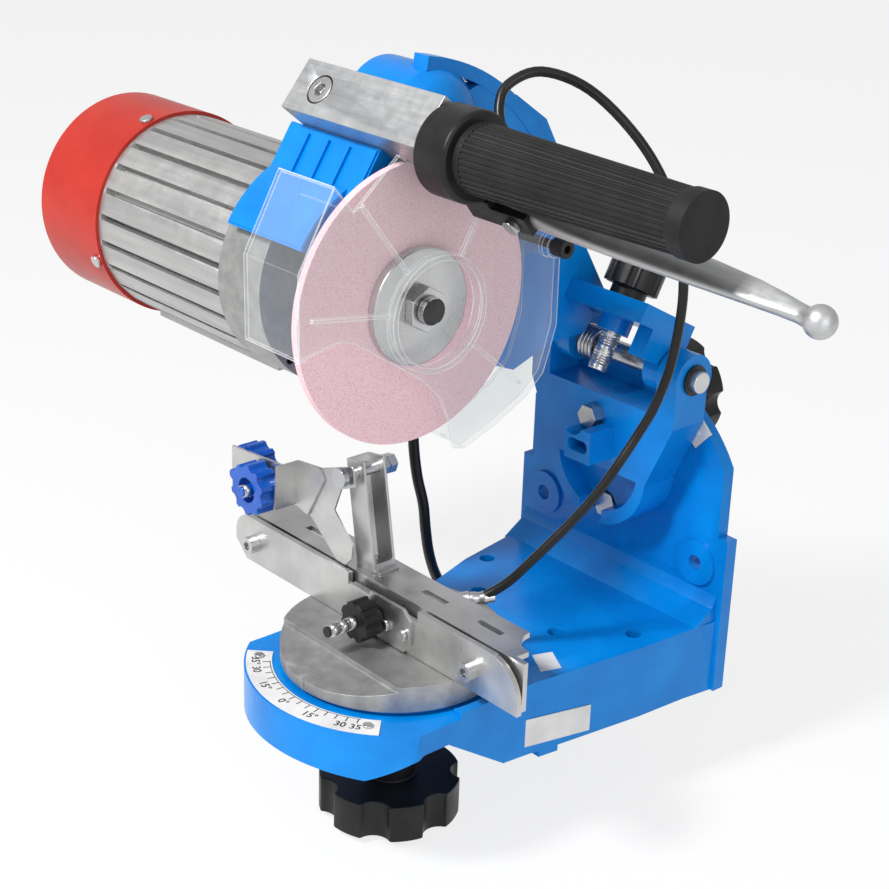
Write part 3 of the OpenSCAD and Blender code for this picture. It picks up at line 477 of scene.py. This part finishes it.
def along(start, direction):
    """A matrix that stands Z along a direction at a point given in millimetres about the vise's axis."""
    turn = Vector(direction).to_track_quat("Z", "Y").to_matrix().to_4x4()
    return Matrix.Translation(place(*start)) @ turn


THREAD = thread_tree(MATERIALS["steel"])


def thread(name, start, direction, radius, length, pitch, body):
    """A steel thread on a stud that begins at start and runs along direction, in millimetres."""
    settings = {
        "Radius": (radius + 0.1 * pitch) * MM,
        "Turns": length / pitch,
        "Height": length * MM,
        "Depth": 0.42 * pitch * MM,
    }
    obj = bake(name, THREAD, settings, along(start, direction))
    smooth(obj.data, 20)
    return finish_piece(obj, body, "steel")


# ---- Camera ----
CAMERA_LENS = 76.85
SENSOR_WIDTH = 36
CAMERA_AT = place(671.1, -575.3, 492.2)
CAMERA_AZ, CAMERA_EL, CAMERA_ROLL = (math.radians(a) for a in (47.88, 22.607, 2.017))


def add_camera():
    level = math.cos(CAMERA_EL)
    back = Vector((math.sin(CAMERA_AZ) * level, -math.cos(CAMERA_AZ) * level, math.sin(CAMERA_EL)))
    right = Vector((math.cos(CAMERA_AZ), math.sin(CAMERA_AZ), 0))
    up = back.cross(right)
    rolled_right = right * math.cos(CAMERA_ROLL) + up * math.sin(CAMERA_ROLL)
    rolled_up = up * math.cos(CAMERA_ROLL) - right * math.sin(CAMERA_ROLL)
    lens = bpy.data.cameras.new("camera")
    lens.lens = CAMERA_LENS
    lens.sensor_width = SENSOR_WIDTH
    camera = bpy.data.objects.new("camera", lens)
    axes = Matrix((rolled_right, rolled_up, back)).transposed().to_4x4()
    camera.matrix_world = Matrix.Translation(CAMERA_AT) @ axes
    bpy.context.scene.collection.objects.link(camera)
    bpy.context.scene.camera = camera


# ---- Mains cord ----
CORD_R = 3.15
CORD_Z = BENCH_Z + CORD_R + 0.15
CORD_POINTS = [
    (-22.05, 66, 176), (-32, 66, 176), (-42, 66, 175.5), (-51.5, 66, 172.5), (-60, 66.5, 166), (-66, 67, 156),
    (-69, 68, 144), (-70, 69, 131), (-70.5, 70, 117), (-71, 71, 100), (-71, 72.5, 80), (-69, 74, 62),
    (-65.5, 76, 46), (-64.5, 77.5, 30), (-65, 81, 14), (-67, 88, -2), (-70, 98, -16), (-74, 111, -27.5),
    (-79, 127, -35), (-85, 146, CORD_Z), (-92, 168, CORD_Z), (-97, 192, CORD_Z), (-95.5, 214, CORD_Z),
    (-88.5, 230, CORD_Z),
]
CORD_STEPS = 5
CORD_SPLITS = (7, 13)
COIL_AT = Vector((-42, 245, 0))
COIL_OUT = 41.2
COIL_STEP = 6.4
LAYER_STEP = 6.5
COIL_LAYERS = (CORD_Z, CORD_Z + LAYER_STEP)
LAYER_TURNS = 3
TURN_STEPS = 40
PLUG_TURN = math.radians(205)
PLUG_Z = BENCH_Z + 6.6
PLUG_SECTIONS = [
    (14, 4.1, 4.1), (20, 4.4, 4.4), (38, 5.2, 4.8), (41, 9, 5.6),
    (47, 14.5, 6.3), (60, 15.5, 6.3), (68, 15, 6.0), (69, 14, 5.2),
]
PIN_AHEAD = (67, 70, 86, 87.6, 88.2)
PIN_RADII = [2, 2, 2, 1.5, 0.8]


def coil_path():
    """Turns inwards on the bench, then outwards on top of them, all clockwise seen from above."""
    path = []
    inner = COIL_OUT - 2 * COIL_STEP
    climb = TURN_STEPS // 3
    for i in range(LAYER_TURNS * TURN_STEPS + 1):
        turns = i / TURN_STEPS
        radius = max(COIL_OUT - COIL_STEP * max(turns - 0.5, 0), inner)
        path.append((turns, radius, COIL_LAYERS[0]))
    for i in range(1, climb + 1):
        share = i / climb
        rise = share * share * (3 - 2 * share)
        path.append((LAYER_TURNS + i / TURN_STEPS, inner, COIL_LAYERS[0] + rise * LAYER_STEP))
    first = LAYER_TURNS + climb / TURN_STEPS
    last = 2 * LAYER_TURNS + (math.pi - PLUG_TURN) / (2 * math.pi)
    count = round((last - first) * TURN_STEPS)
    for i in range(1, count + 1):
        turns = first + (last - first) * i / count
        radius = min(inner + COIL_STEP * max(turns - first, 0) * 2 / (last - first - 0.4), COIL_OUT)
        path.append((turns, radius, COIL_LAYERS[1]))
    points = []
    for turns, radius, z in path:
        angle = math.pi - 2 * math.pi * turns
        points.append(Vector((COIL_AT.x + radius * math.cos(angle), COIL_AT.y + radius * math.sin(angle), z)))
    return points


def plug_point(across, ahead, z):
    """A point beside the coil: across is outwards from its outer turn, ahead is the way the cord leaves."""
    out = Vector((math.cos(PLUG_TURN), math.sin(PLUG_TURN), 0))
    onwards = Vector((out.y, -out.x, 0))
    return COIL_AT + out * (COIL_OUT + across) + onwards * ahead + Vector((0, 0, z))


def add_plug():
    """A flat moulded plug from sections given as (ahead, half width, half height), and its two pins."""
    rings = []
    for ahead, wide, high in PLUG_SECTIONS:
        corners = [squarish(angle, 0.45) for angle in angles_round(24)]
        rings.append([plug_point(wide * c, ahead, PLUG_Z + high * s) for c, s in corners])
    vertices, faces = skin(rings)
    plug = mesh_piece("mains_plug", vertices, faces, "base", "black_plastic", None, ["cord_plug"], angle=40)
    pins = []
    for side in (-9.5, 9.5):
        path = [plug_point(side, ahead, PLUG_Z) for ahead in PIN_AHEAD]
        pins.append(tube_piece(f"plug_pin_{len(pins) + 1}", path, PIN_RADII, "base", "steel"))
    return [plug, *pins]


def add_mains_cord():
    """The mains lead: a sleeve on the head, an upper length by the head and a middle one by the bracket left
    on no body, and the rest lying on the base.
    """
    run = smooth_path(CORD_POINTS, CORD_STEPS)
    first, second = (CORD_STEPS * i for i in CORD_SPLITS)
    grip_path = [Vector((-20.0 - 2.2 * i, 66, 176)) for i in range(15)]
    widths = [6.2 if i < 2 else 5.6 - 0.15 * i + (0.45 if i % 2 else 0) for i in range(15)]
    sleeve = tube_piece("strain_relief", grip_path, widths, "head", "black_rubber", sides=24)
    upper, middle = run[: first + 1], run[first: second + 1]
    hanging = [
        ("mains_cord_upper", upper, "head", "bracket", (-60, 66, 166), (-70, 69, 134), [sleeve]),
        ("mains_cord_middle", middle, "bracket", "base", (-70, 69, 128), (-64.5, 77.5, 34), []),
    ]
    for name, path, above, below, start, end, with_pieces in hanging:
        drop = tube_piece(name, path, [CORD_R] * len(path), None, "black_rubber", CORD_SKIN)
        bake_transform(drop)
    into_plug = [
        plug_point(0, 6, COIL_LAYERS[1] - 0.4),
        plug_point(0, 13, PLUG_Z + 0.8),
        plug_point(0, 20, PLUG_Z),
    ]
    lower = run[second:-1] + coil_path() + into_plug
    lead = tube_piece(
        "mains_cord_lower", lower, [CORD_R] * len(lower), "base", "black_rubber", CORD_SKIN,
        replaced=["mains_cord", "cord_coil"], sides=14,
    )
    add_plug()


def add_cord_tie():
    """A band round the coil's turns."""
    angle = math.radians(60)
    out = Vector((math.cos(angle), math.sin(angle), 0))
    middle = COIL_AT + out * (COIL_OUT - COIL_STEP) + Vector((0, 0, (COIL_LAYERS[0] + COIL_LAYERS[1]) / 2))
    half_wide = COIL_STEP + CORD_R + 0.5
    half_high = LAYER_STEP / 2 + CORD_R + 0.12
    around = 28
    ring = []
    for angle in angles_round(around):
        across, up = squarish(angle, 0.35)
        ring.append(middle + out * half_wide * across + Vector((0, 0, half_high * up)))
    along_cord = Vector((-out.y, out.x, 0))
    corners = ((-3, 1.0), (3, 1.0), (3, 1.05), (-3, 1.05))
    rings = [[middle + (p - middle) * grow + along_cord * shift for p in ring] for shift, grow in corners]
    vertices = [place(*p) for r in rings for p in r]
    faces = []
    for i in range(len(corners)):
        for k in range(around):
            m, n = (k + 1) % around, (i + 1) % len(corners)
            faces.append((i * around + k, i * around + m, n * around + m, n * around + k))
    mesh_piece("cord_tie", vertices, faces, "base", "black_plastic")


# ---- Brake cable ----
CABLE_R = 2.5
CABLE_POINTS = [
    (38, 24.69, 264.22), (38, 28.63, 267.3), (35, 33, 273), (28.5, 36, 283), (22, 39, 294), (20, 46, 304),
    (28, 60, 310.2), (46, 75, 303), (66, 89, 282), (78, 100, 257), (83.5, 107, 229), (84, 111, 201),
    (81, 110, 168), (77.5, 104.5, 145), (74, 97.5, 130), (70.5, 88.5, 115), (65.5, 79.5, 99), (59, 70, 84),
    (52, 60.5, 70.5), (45, 52, 58), (37.5, 45, 46.5), (28.89, 36.39, 37.68), (24.52, 31.19, 36.23),
]
CABLE_STEPS = 6
CABLE_SPLITS = (14, 17)


def add_brake_cable():
    """The brake cable in three lengths by the head, across the bracket and down to the turning vise, left on
    no body; then its boot and ferrule.
    """
    path = smooth_path(CABLE_POINTS, CABLE_STEPS)
    cuts = [0, *(CABLE_STEPS * i for i in CABLE_SPLITS), len(path) - 1]
    joints = [
        ("head", "bracket", (70, 92, 270), (75, 99, 136)),
        ("bracket", "base", (73.5, 96, 127), (60, 72, 87)),
        ("base", "disc", (56, 66, 78), (34, 42, 42)),
    ]
    for i, (a, b, start, end) in enumerate(joints):
        part = path[cuts[i]: cuts[i + 1] + 1]
        replaced = ["brake_cable"] if i == 0 else []
        widths = [CABLE_R] * len(part)
        obj = tube_piece(f"brake_cable_{i + 1}", part, widths, None, "black_rubber", CORD_SKIN, replaced)
        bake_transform(obj)
    top = path[0]
    down = (path[1] - top).normalized()
    sleeve = [top - down * 1.0 + down * 1.6 * i for i in range(11)]
    widths = [3.9, 3.9, 3.9, 3.5, 3.9, 3.5, 3.9, 3.3, 3.6, 3.0, 2.8]
    tube_piece("cable_boot", sleeve, widths, "head", "black_rubber", sides=20)
    foot = path[-1]
    back_up = (path[-3] - foot).normalized()
    sleeve = [foot - back_up * 0.5 + back_up * 1.5 * i for i in range(10)]
    widths = [3.4, 3.6, 3.6, 3.2, 3.2, 3.6, 3.6, 3.0, 3.0, 2.7]
    tube_piece("cable_ferrule", sleeve, widths, "disc", "steel", sides=20)


# ---- Springs, lever and grip ----
def add_return_spring():
    """The coil spring round the hinge pin, four and a half turns of wire."""
    left, wide, radius, wire = -18.6, 11.88, 9, 1.15
    steps = 219
    points = []
    for i in range(steps + 1):
        share = i / steps
        angle = math.radians(4.5 * 360) * share
        across, up = radius * math.sin(angle), radius * math.cos(angle)
        points.append(HINGE + Vector((share * wide + left, across, up)))
    widths = [wire] * len(points)
    tube_piece("spring_coils", points, widths, "bracket", "steel", replaced=["return_spring"], sides=10)


def add_lever():
    """The brake lever: a flat curved blade from its boss to the ball at its end."""
    sides = 32
    blade = [
        (58, -31, 6.2, 5.0), (62, -31, 6.5, 5.0), (69, -30.8, 5.4, 6.0), (80, -30.6, 4.4, 7.2),
        (96, -30.9, 3.4, 7.9), (120, -31.8, 2.9, 8.2), (148, -33.2, 2.7, 8.0), (175, -35.0, 2.6, 7.3),
        (198, -37.2, 2.7, 6.2), (212, -39.6, 2.9, 5.0), (220, -41.6, 3.2, 4.2),
    ]
    rings = []
    for x, z, high, wide in blade:
        corners = [squarish(angle, 0.6) for angle in angles_round(sides)]
        rings.append([at_perch(x, wide * c, z + high * s) for c, s in corners])
    ball_x, ball_z, ball_r = 230, -43.2, 7.4
    for i in range(13):
        angle = math.radians(142 - 12.2 * i * 0.95)
        x = ball_x + ball_r * math.cos(angle)
        radius = max(ball_r * math.sin(angle), 0.4)
        ring = [(radius * math.cos(t), ball_z + radius * math.sin(t)) for t in angles_round(sides)]
        rings.append([at_perch(x, y, z) for y, z in ring])
    vertices, faces = skin(rings)
    mesh_piece("lever_blade", vertices, faces, "lever", "aluminium", replaced=["lever"], angle=60)


# ---- The scale and the labels ----
PLATE_TOP = 0.6
SCALE_MIDDLE = -90
SCALE_HALF = 35
SCALE_NUMBERS = {-35: "35°", -30: "30", -15: "15°", 0: "0°", 15: "15°", 30: "30", 35: "35°"}
NUMBER_SHIFT = {-35: -1.2, -30: 1.2, 30: -1.2, 35: 1.2}
NUMBER_RADIUS = 72.4
NUMBER_SIZE = 6.2


def radial(radius, degrees, z):
    angle = math.radians(degrees)
    return Vector((radius * math.cos(angle), radius * math.sin(angle), z))


def tick_tree(material):
    """Marks along an arc, each a small bar that points at the arc's centre."""
    inputs = {"Radius": 0.07, "Sweep": 1.0, "Length": 0.004, "Width": 0.0004, "Height": 0.0001}
    tree, source, output = node_tree("ticks", inputs)
    arc = tree.nodes.new("GeometryNodeCurveArc")
    arc.inputs["Resolution"].default_value = 15
    tree.links.new(source.outputs["Radius"], arc.inputs["Radius"])
    tree.links.new(source.outputs["Sweep"], arc.inputs["Sweep Angle"])
    size = tree.nodes.new("ShaderNodeCombineXYZ")
    for socket, name in (("X", "Length"), ("Y", "Width"), ("Z", "Height")):
        tree.links.new(source.outputs[name], size.inputs[socket])
    bar = tree.nodes.new("GeometryNodeMeshCube")
    tree.links.new(size.outputs["Vector"], bar.inputs["Size"])
    at = tree.nodes.new("GeometryNodeInputPosition")
    turn = tree.nodes.new("FunctionNodeAlignEulerToVector")
    turn.axis = "X"
    turn.pivot_axis = "Z"
    tree.links.new(at.outputs["Position"], turn.inputs["Vector"])
    put = tree.nodes.new("GeometryNodeInstanceOnPoints")
    tree.links.new(arc.outputs["Curve"], put.inputs["Points"])
    tree.links.new(bar.outputs["Mesh"], put.inputs["Instance"])
    tree.links.new(turn.outputs["Rotation"], put.inputs["Rotation"])
    end_tree(tree, put.outputs["Instances"], output, material)
    return tree


def add_scale_marks():
    """The ticks of the scale and the thin arc inside them."""
    turned = Matrix.Rotation(math.radians(SCALE_MIDDLE - SCALE_HALF), 4, "Z")
    centre = Matrix.Translation(place(0, 0, PLATE_TOP + 0.03))
    settings = {
        "Radius": 66.6 * MM, "Sweep": math.radians(2 * SCALE_HALF),
        "Length": 4.2 * MM, "Width": 0.6 * MM, "Height": 0.08 * MM,
    }
    ticks = bake("scale_ticks", tick_tree(INK), settings, centre @ turned)
    finish_piece(ticks, "base", PRINTED, INK)
    inner, outer = 64.5, 64.9
    under, over = PLATE_TOP - 0.02, PLATE_TOP + 0.06
    start = SCALE_MIDDLE - SCALE_HALF - 1
    corners = ((inner, under), (inner, over), (outer, over), (outer, under))
    rings = [[radial(radius, start + 2 * i, z) for radius, z in corners] for i in range(SCALE_HALF + 2)]
    vertices, faces = skin(rings)
    mesh_piece("scale_line", vertices, faces, "base", PRINTED, INK)


def add_scale_numbers():
    """The plain numbers of the dial, standing on the plate and read from in front."""
    for i, (degrees, words) in enumerate(SCALE_NUMBERS.items()):
        font = bpy.data.curves.new(f"number_{i}", "FONT")
        font.body = words
        font.size = NUMBER_SIZE * MM
        font.offset = 0.09 * MM
        font.extrude = 0.03 * MM
        font.align_x = "CENTER"
        font.align_y = "CENTER"
        font.resolution_u = 4
        away = SCALE_MIDDLE + degrees + NUMBER_SHIFT.get(degrees, 0)
        turn = Matrix.Rotation(math.radians(away + 90), 4, "Z")
        maker = add_object(f"number_{i}", font)
        bpy.context.view_layer.update()
        mesh = bpy.data.meshes.new_from_object(maker.evaluated_get(bpy.context.evaluated_depsgraph_get()))
        bpy.data.objects.remove(maker)
        mesh.transform(Matrix.Translation(place(*radial(NUMBER_RADIUS, away, PLATE_TOP + 0.03))) @ turn)
        finish_piece(add_object(f"scale_number_{i + 1}", mesh), "base", PRINTED, INK)


def slab(name, corners, thick, body, slot):
    """A thin plate over four corners given in millimetres, raised by thick along their normal."""
    a, b, c, d = (Vector(p) for p in corners)
    normal = (b - a).cross(d - a).normalized()
    middle = (a + b + c + d) / 4
    inset = 0.12 * thick
    rows = []
    for lift, shrink in ((-0.05, 0), (thick - inset, 0), (thick, inset)):
        rows.append([p + normal * lift + (middle - p).normalized() * shrink for p in (a, b, c, d)])
    vertices, faces = skin(rows)
    return mesh_piece(name, vertices, faces, body, slot)


def add_labels():
    """Two blank labels, on the base's right side and on its deck."""
    thick = 0.35
    side = [(67.35, 31.5, -34), (72.95, 77, -37.2), (72.95, 77, -21.6), (67.35, 31.5, -17.6)]
    slab("side_label", side, thick, "base", PRINTED)
    deck = [(46.5, 57.5, 3.0), (61.7, 49, 3.0), (65.6, 60.4, 3.0), (50.5, 68.5, 3.0)]
    slab("deck_label", deck, thick, "base", PRINTED)


def add_front_panel():
    """The ribbed plate over the head's sloped front, and the plain skin round the motor's ring under it."""
    steps = 12
    left, right, inside, outside = -77.6, -18.4, 62.7, 63.6
    rings = []
    for i in range(steps + 1):
        angle = math.radians(108 + 41 * i / steps)
        out = Vector((0, math.cos(angle), math.sin(angle)))
        corners = ((left, inside), (left, outside), (right, outside), (right, inside))
        rings.append([WHEEL + out * radius + Vector((x, 0, 0)) for x, radius in corners])
    vertices, faces = skin(rings)
    mesh_piece("front_skin", vertices, faces, "head", BLUE)
    low, high = (-30.2, 236.3), (-7.4, 272.8)
    plate = [(-79, *low), (-11, *low), (-11, *high), (-79, *high)]
    slab("front_panel", plate, 1.2, "head", BLUE)
    low, high = (-30.6, 237.1), (-9.4, 271.1)
    rib_wide = 1.6
    for i, x in enumerate((-62, -46, -30)):
        rib = [(x, *low), (x + rib_wide, *low), (x + rib_wide, *high), (x, *high)]
        slab(f"front_panel_rib_{i}", rib, 2.0, "head", BLUE)


# ---- Rounded CAD pieces, with the width of their edges in millimetres ----
EDGES = {
    "base_casting": 1.3, "tilt_bracket": 1.1, "head_casting": 1.2, "turntable": 0.7, "vise_block": 0.8,
    "end_shield": 0.9, "motor_housing": 0.3, "rear_shield": 0.6, "rear_jaw": 0.35, "front_jaw": 0.35,
    "slide_bracket": 0.25, "stop_post": 0.3, "pawl": 0.2, "pawl_arm": 0.25, "scale_plate": 0.12,
    "scale_rivets": 0.5, "index_plate": 0.15, "clamp_bolt": 0.5, "clamp_washer": 0.3, "jaw_bolts": 0.45,
    "slide_screws": 0.5, "post_bolt": 0.5, "cable_end": 0.4, "tilt_pivot": 0.6, "lock_bolt": 0.6,
    "hinge_pin": 0.8, "circlips": 0.2, "cover_screws": 0.5, "shaft": 0.5, "bearings": 0.3, "rotor": 0.5,
    "stator": 2.0, "fan": 0.3, "inner_flange": 0.8, "wheel": 0.5, "outer_flange": 0.9, "wheel_nut": 0.7,
    "guard": 0.35, "guard_screws": 0.5, "depth_screw": 0.5, "depth_knob": 1.2, "handle_block": 0.9,
    "block_screw": 0.6, "collar": 2.2, "handle_bar": 0.6, "grip": 0.35, "lever_perch": 1.2, "lever_pin": 0.5,
    "clamp_knob": 2.6, "slide_knob": 1.0, "lock_knob": 2.2, "front_adjuster": 1.1, "rear_adjuster": 1.1,
    "fan_cover": 0.9,
}


def add_threads():
    ahead = (0, -1, 0)
    head_up = at_hinge(0, 0, 1) - HINGE
    thread("depth_screw_thread", at_hinge(9, -16.5, -13), head_up, 5, 74, 1.5, "depth_screw")
    thread("slide_knob_thread", (0, -27.5, 31), ahead, 2.95, 16.5, 0.8, "slide_knob")
    thread("front_stud_thread", (-90, -29, 74), ahead, 3, 3.8, 0.8, "front_adjuster")
    thread("rear_stud_thread", (-112, -13.2, 74), (0, 1, 0), 3, 3.4, 0.8, "rear_adjuster")
    thread("lock_bolt_thread", (4, 186, 108), (0, 1, 0), 4, 10.5, 1.25, "bracket")
    thread("clamp_bolt_thread", (0, 0, -81.5), (0, 0, 1), 6, 5, 1.5, "disc")
    thread("shaft_thread", (9.8, 6.5, 197), (1, 0, 0), 6.7, 6.8, 1.0, "rotor")


# ---- Floor and light, in metres ----
WHITE = (1, 1, 1, 1)
FLOOR_HALF = 6
FLOOR_Z = -0.053
LOOKED_AT = (0, -0.05, 0.15)


def white_to_camera(mat, shader, share):
    """The camera, mirrors and clear pieces see mostly plain white; what the surface lights stays the same."""
    tree = mat.node_tree
    path = tree.nodes.new("ShaderNodeLightPath")
    seen = math_node(tree, "MAXIMUM", path.outputs["Is Camera Ray"], path.outputs["Is Glossy Ray"])
    seen = math_node(tree, "MAXIMUM", seen, path.outputs["Is Transmission Ray"])
    seen = math_node(tree, "MULTIPLY", seen, share)
    white = tree.nodes.new("ShaderNodeEmission")
    white.inputs["Color"].default_value = WHITE
    mixed = mix_shaders(tree, seen, shader.outputs["BSDF"], white.outputs["Emission"])
    tree.links.new(mixed, tree.nodes["Material Output"].inputs["Surface"])


def add_floor():
    corners = [(x * FLOOR_HALF, y * FLOOR_HALF, FLOOR_Z) for x, y in ((-1, -1), (1, -1), (1, 1), (-1, 1))]
    mesh = bpy.data.meshes.new("floor")
    mesh.from_pydata(corners, [], [(0, 1, 2, 3)])
    floor = add_object("floor", mesh)
    mat, shader = start_material("floor", (0.85, 0.85, 0.85), rough=0.9)
    shader.inputs["Specular IOR Level"].default_value = 0.1
    white_to_camera(mat, shader, 0.8)
    mesh.materials.append(mat)


def world_light():
    """A white surround whose strength depends on the kind of ray that sees it."""
    world = bpy.data.worlds.new("world")
    bpy.context.scene.world = world
    world.use_nodes = True
    tree = world.node_tree
    light = tree.nodes["Background"]
    light.inputs["Color"].default_value = WHITE
    light.inputs["Strength"].default_value = 0.42
    last = light.outputs["Background"]
    for ray, strength in (("Is Glossy Ray", 0.6), ("Is Transmission Ray", 1.0), ("Is Camera Ray", 1.0)):
        seen = tree.nodes.new("ShaderNodeBackground")
        seen.inputs["Color"].default_value = WHITE
        seen.inputs["Strength"].default_value = strength
        path = tree.nodes.new("ShaderNodeLightPath")
        last = mix_shaders(tree, path.outputs[ray], last, seen.outputs["Background"])
    tree.links.new(last, tree.nodes["World Output"].inputs["Surface"])


def lamp(name, at, size, power):
    data = bpy.data.lights.new(name, "AREA")
    data.size = size
    data.energy = power
    thing = bpy.data.objects.new(name, data)
    thing.location = at
    thing.rotation_euler = (Vector(at) - Vector(LOOKED_AT)).to_track_quat("Z", "Y").to_euler()
    bpy.context.scene.collection.objects.link(thing)


# ---- The scene ----
for node, obj in NODES.items():
    obj.data.materials.clear()
    obj.data.materials.append(MATERIALS[SLOT_OF[node]])
add_camera()
add_mains_cord()
add_cord_tie()
add_brake_cable()
for node, width in EDGES.items():
    rounded(node, width)
add_return_spring()
add_lever()
add_threads()
add_scale_marks()
add_scale_numbers()
add_labels()
add_front_panel()
add_floor()
world_light()
lamp("key", (-0.1, -1.4, 1.5), 0.3, 40)
lamp("fill", (1.4, -0.5, 0.7), 1.0, 7)
bpy.context.scene.view_settings.view_transform = "Standard"
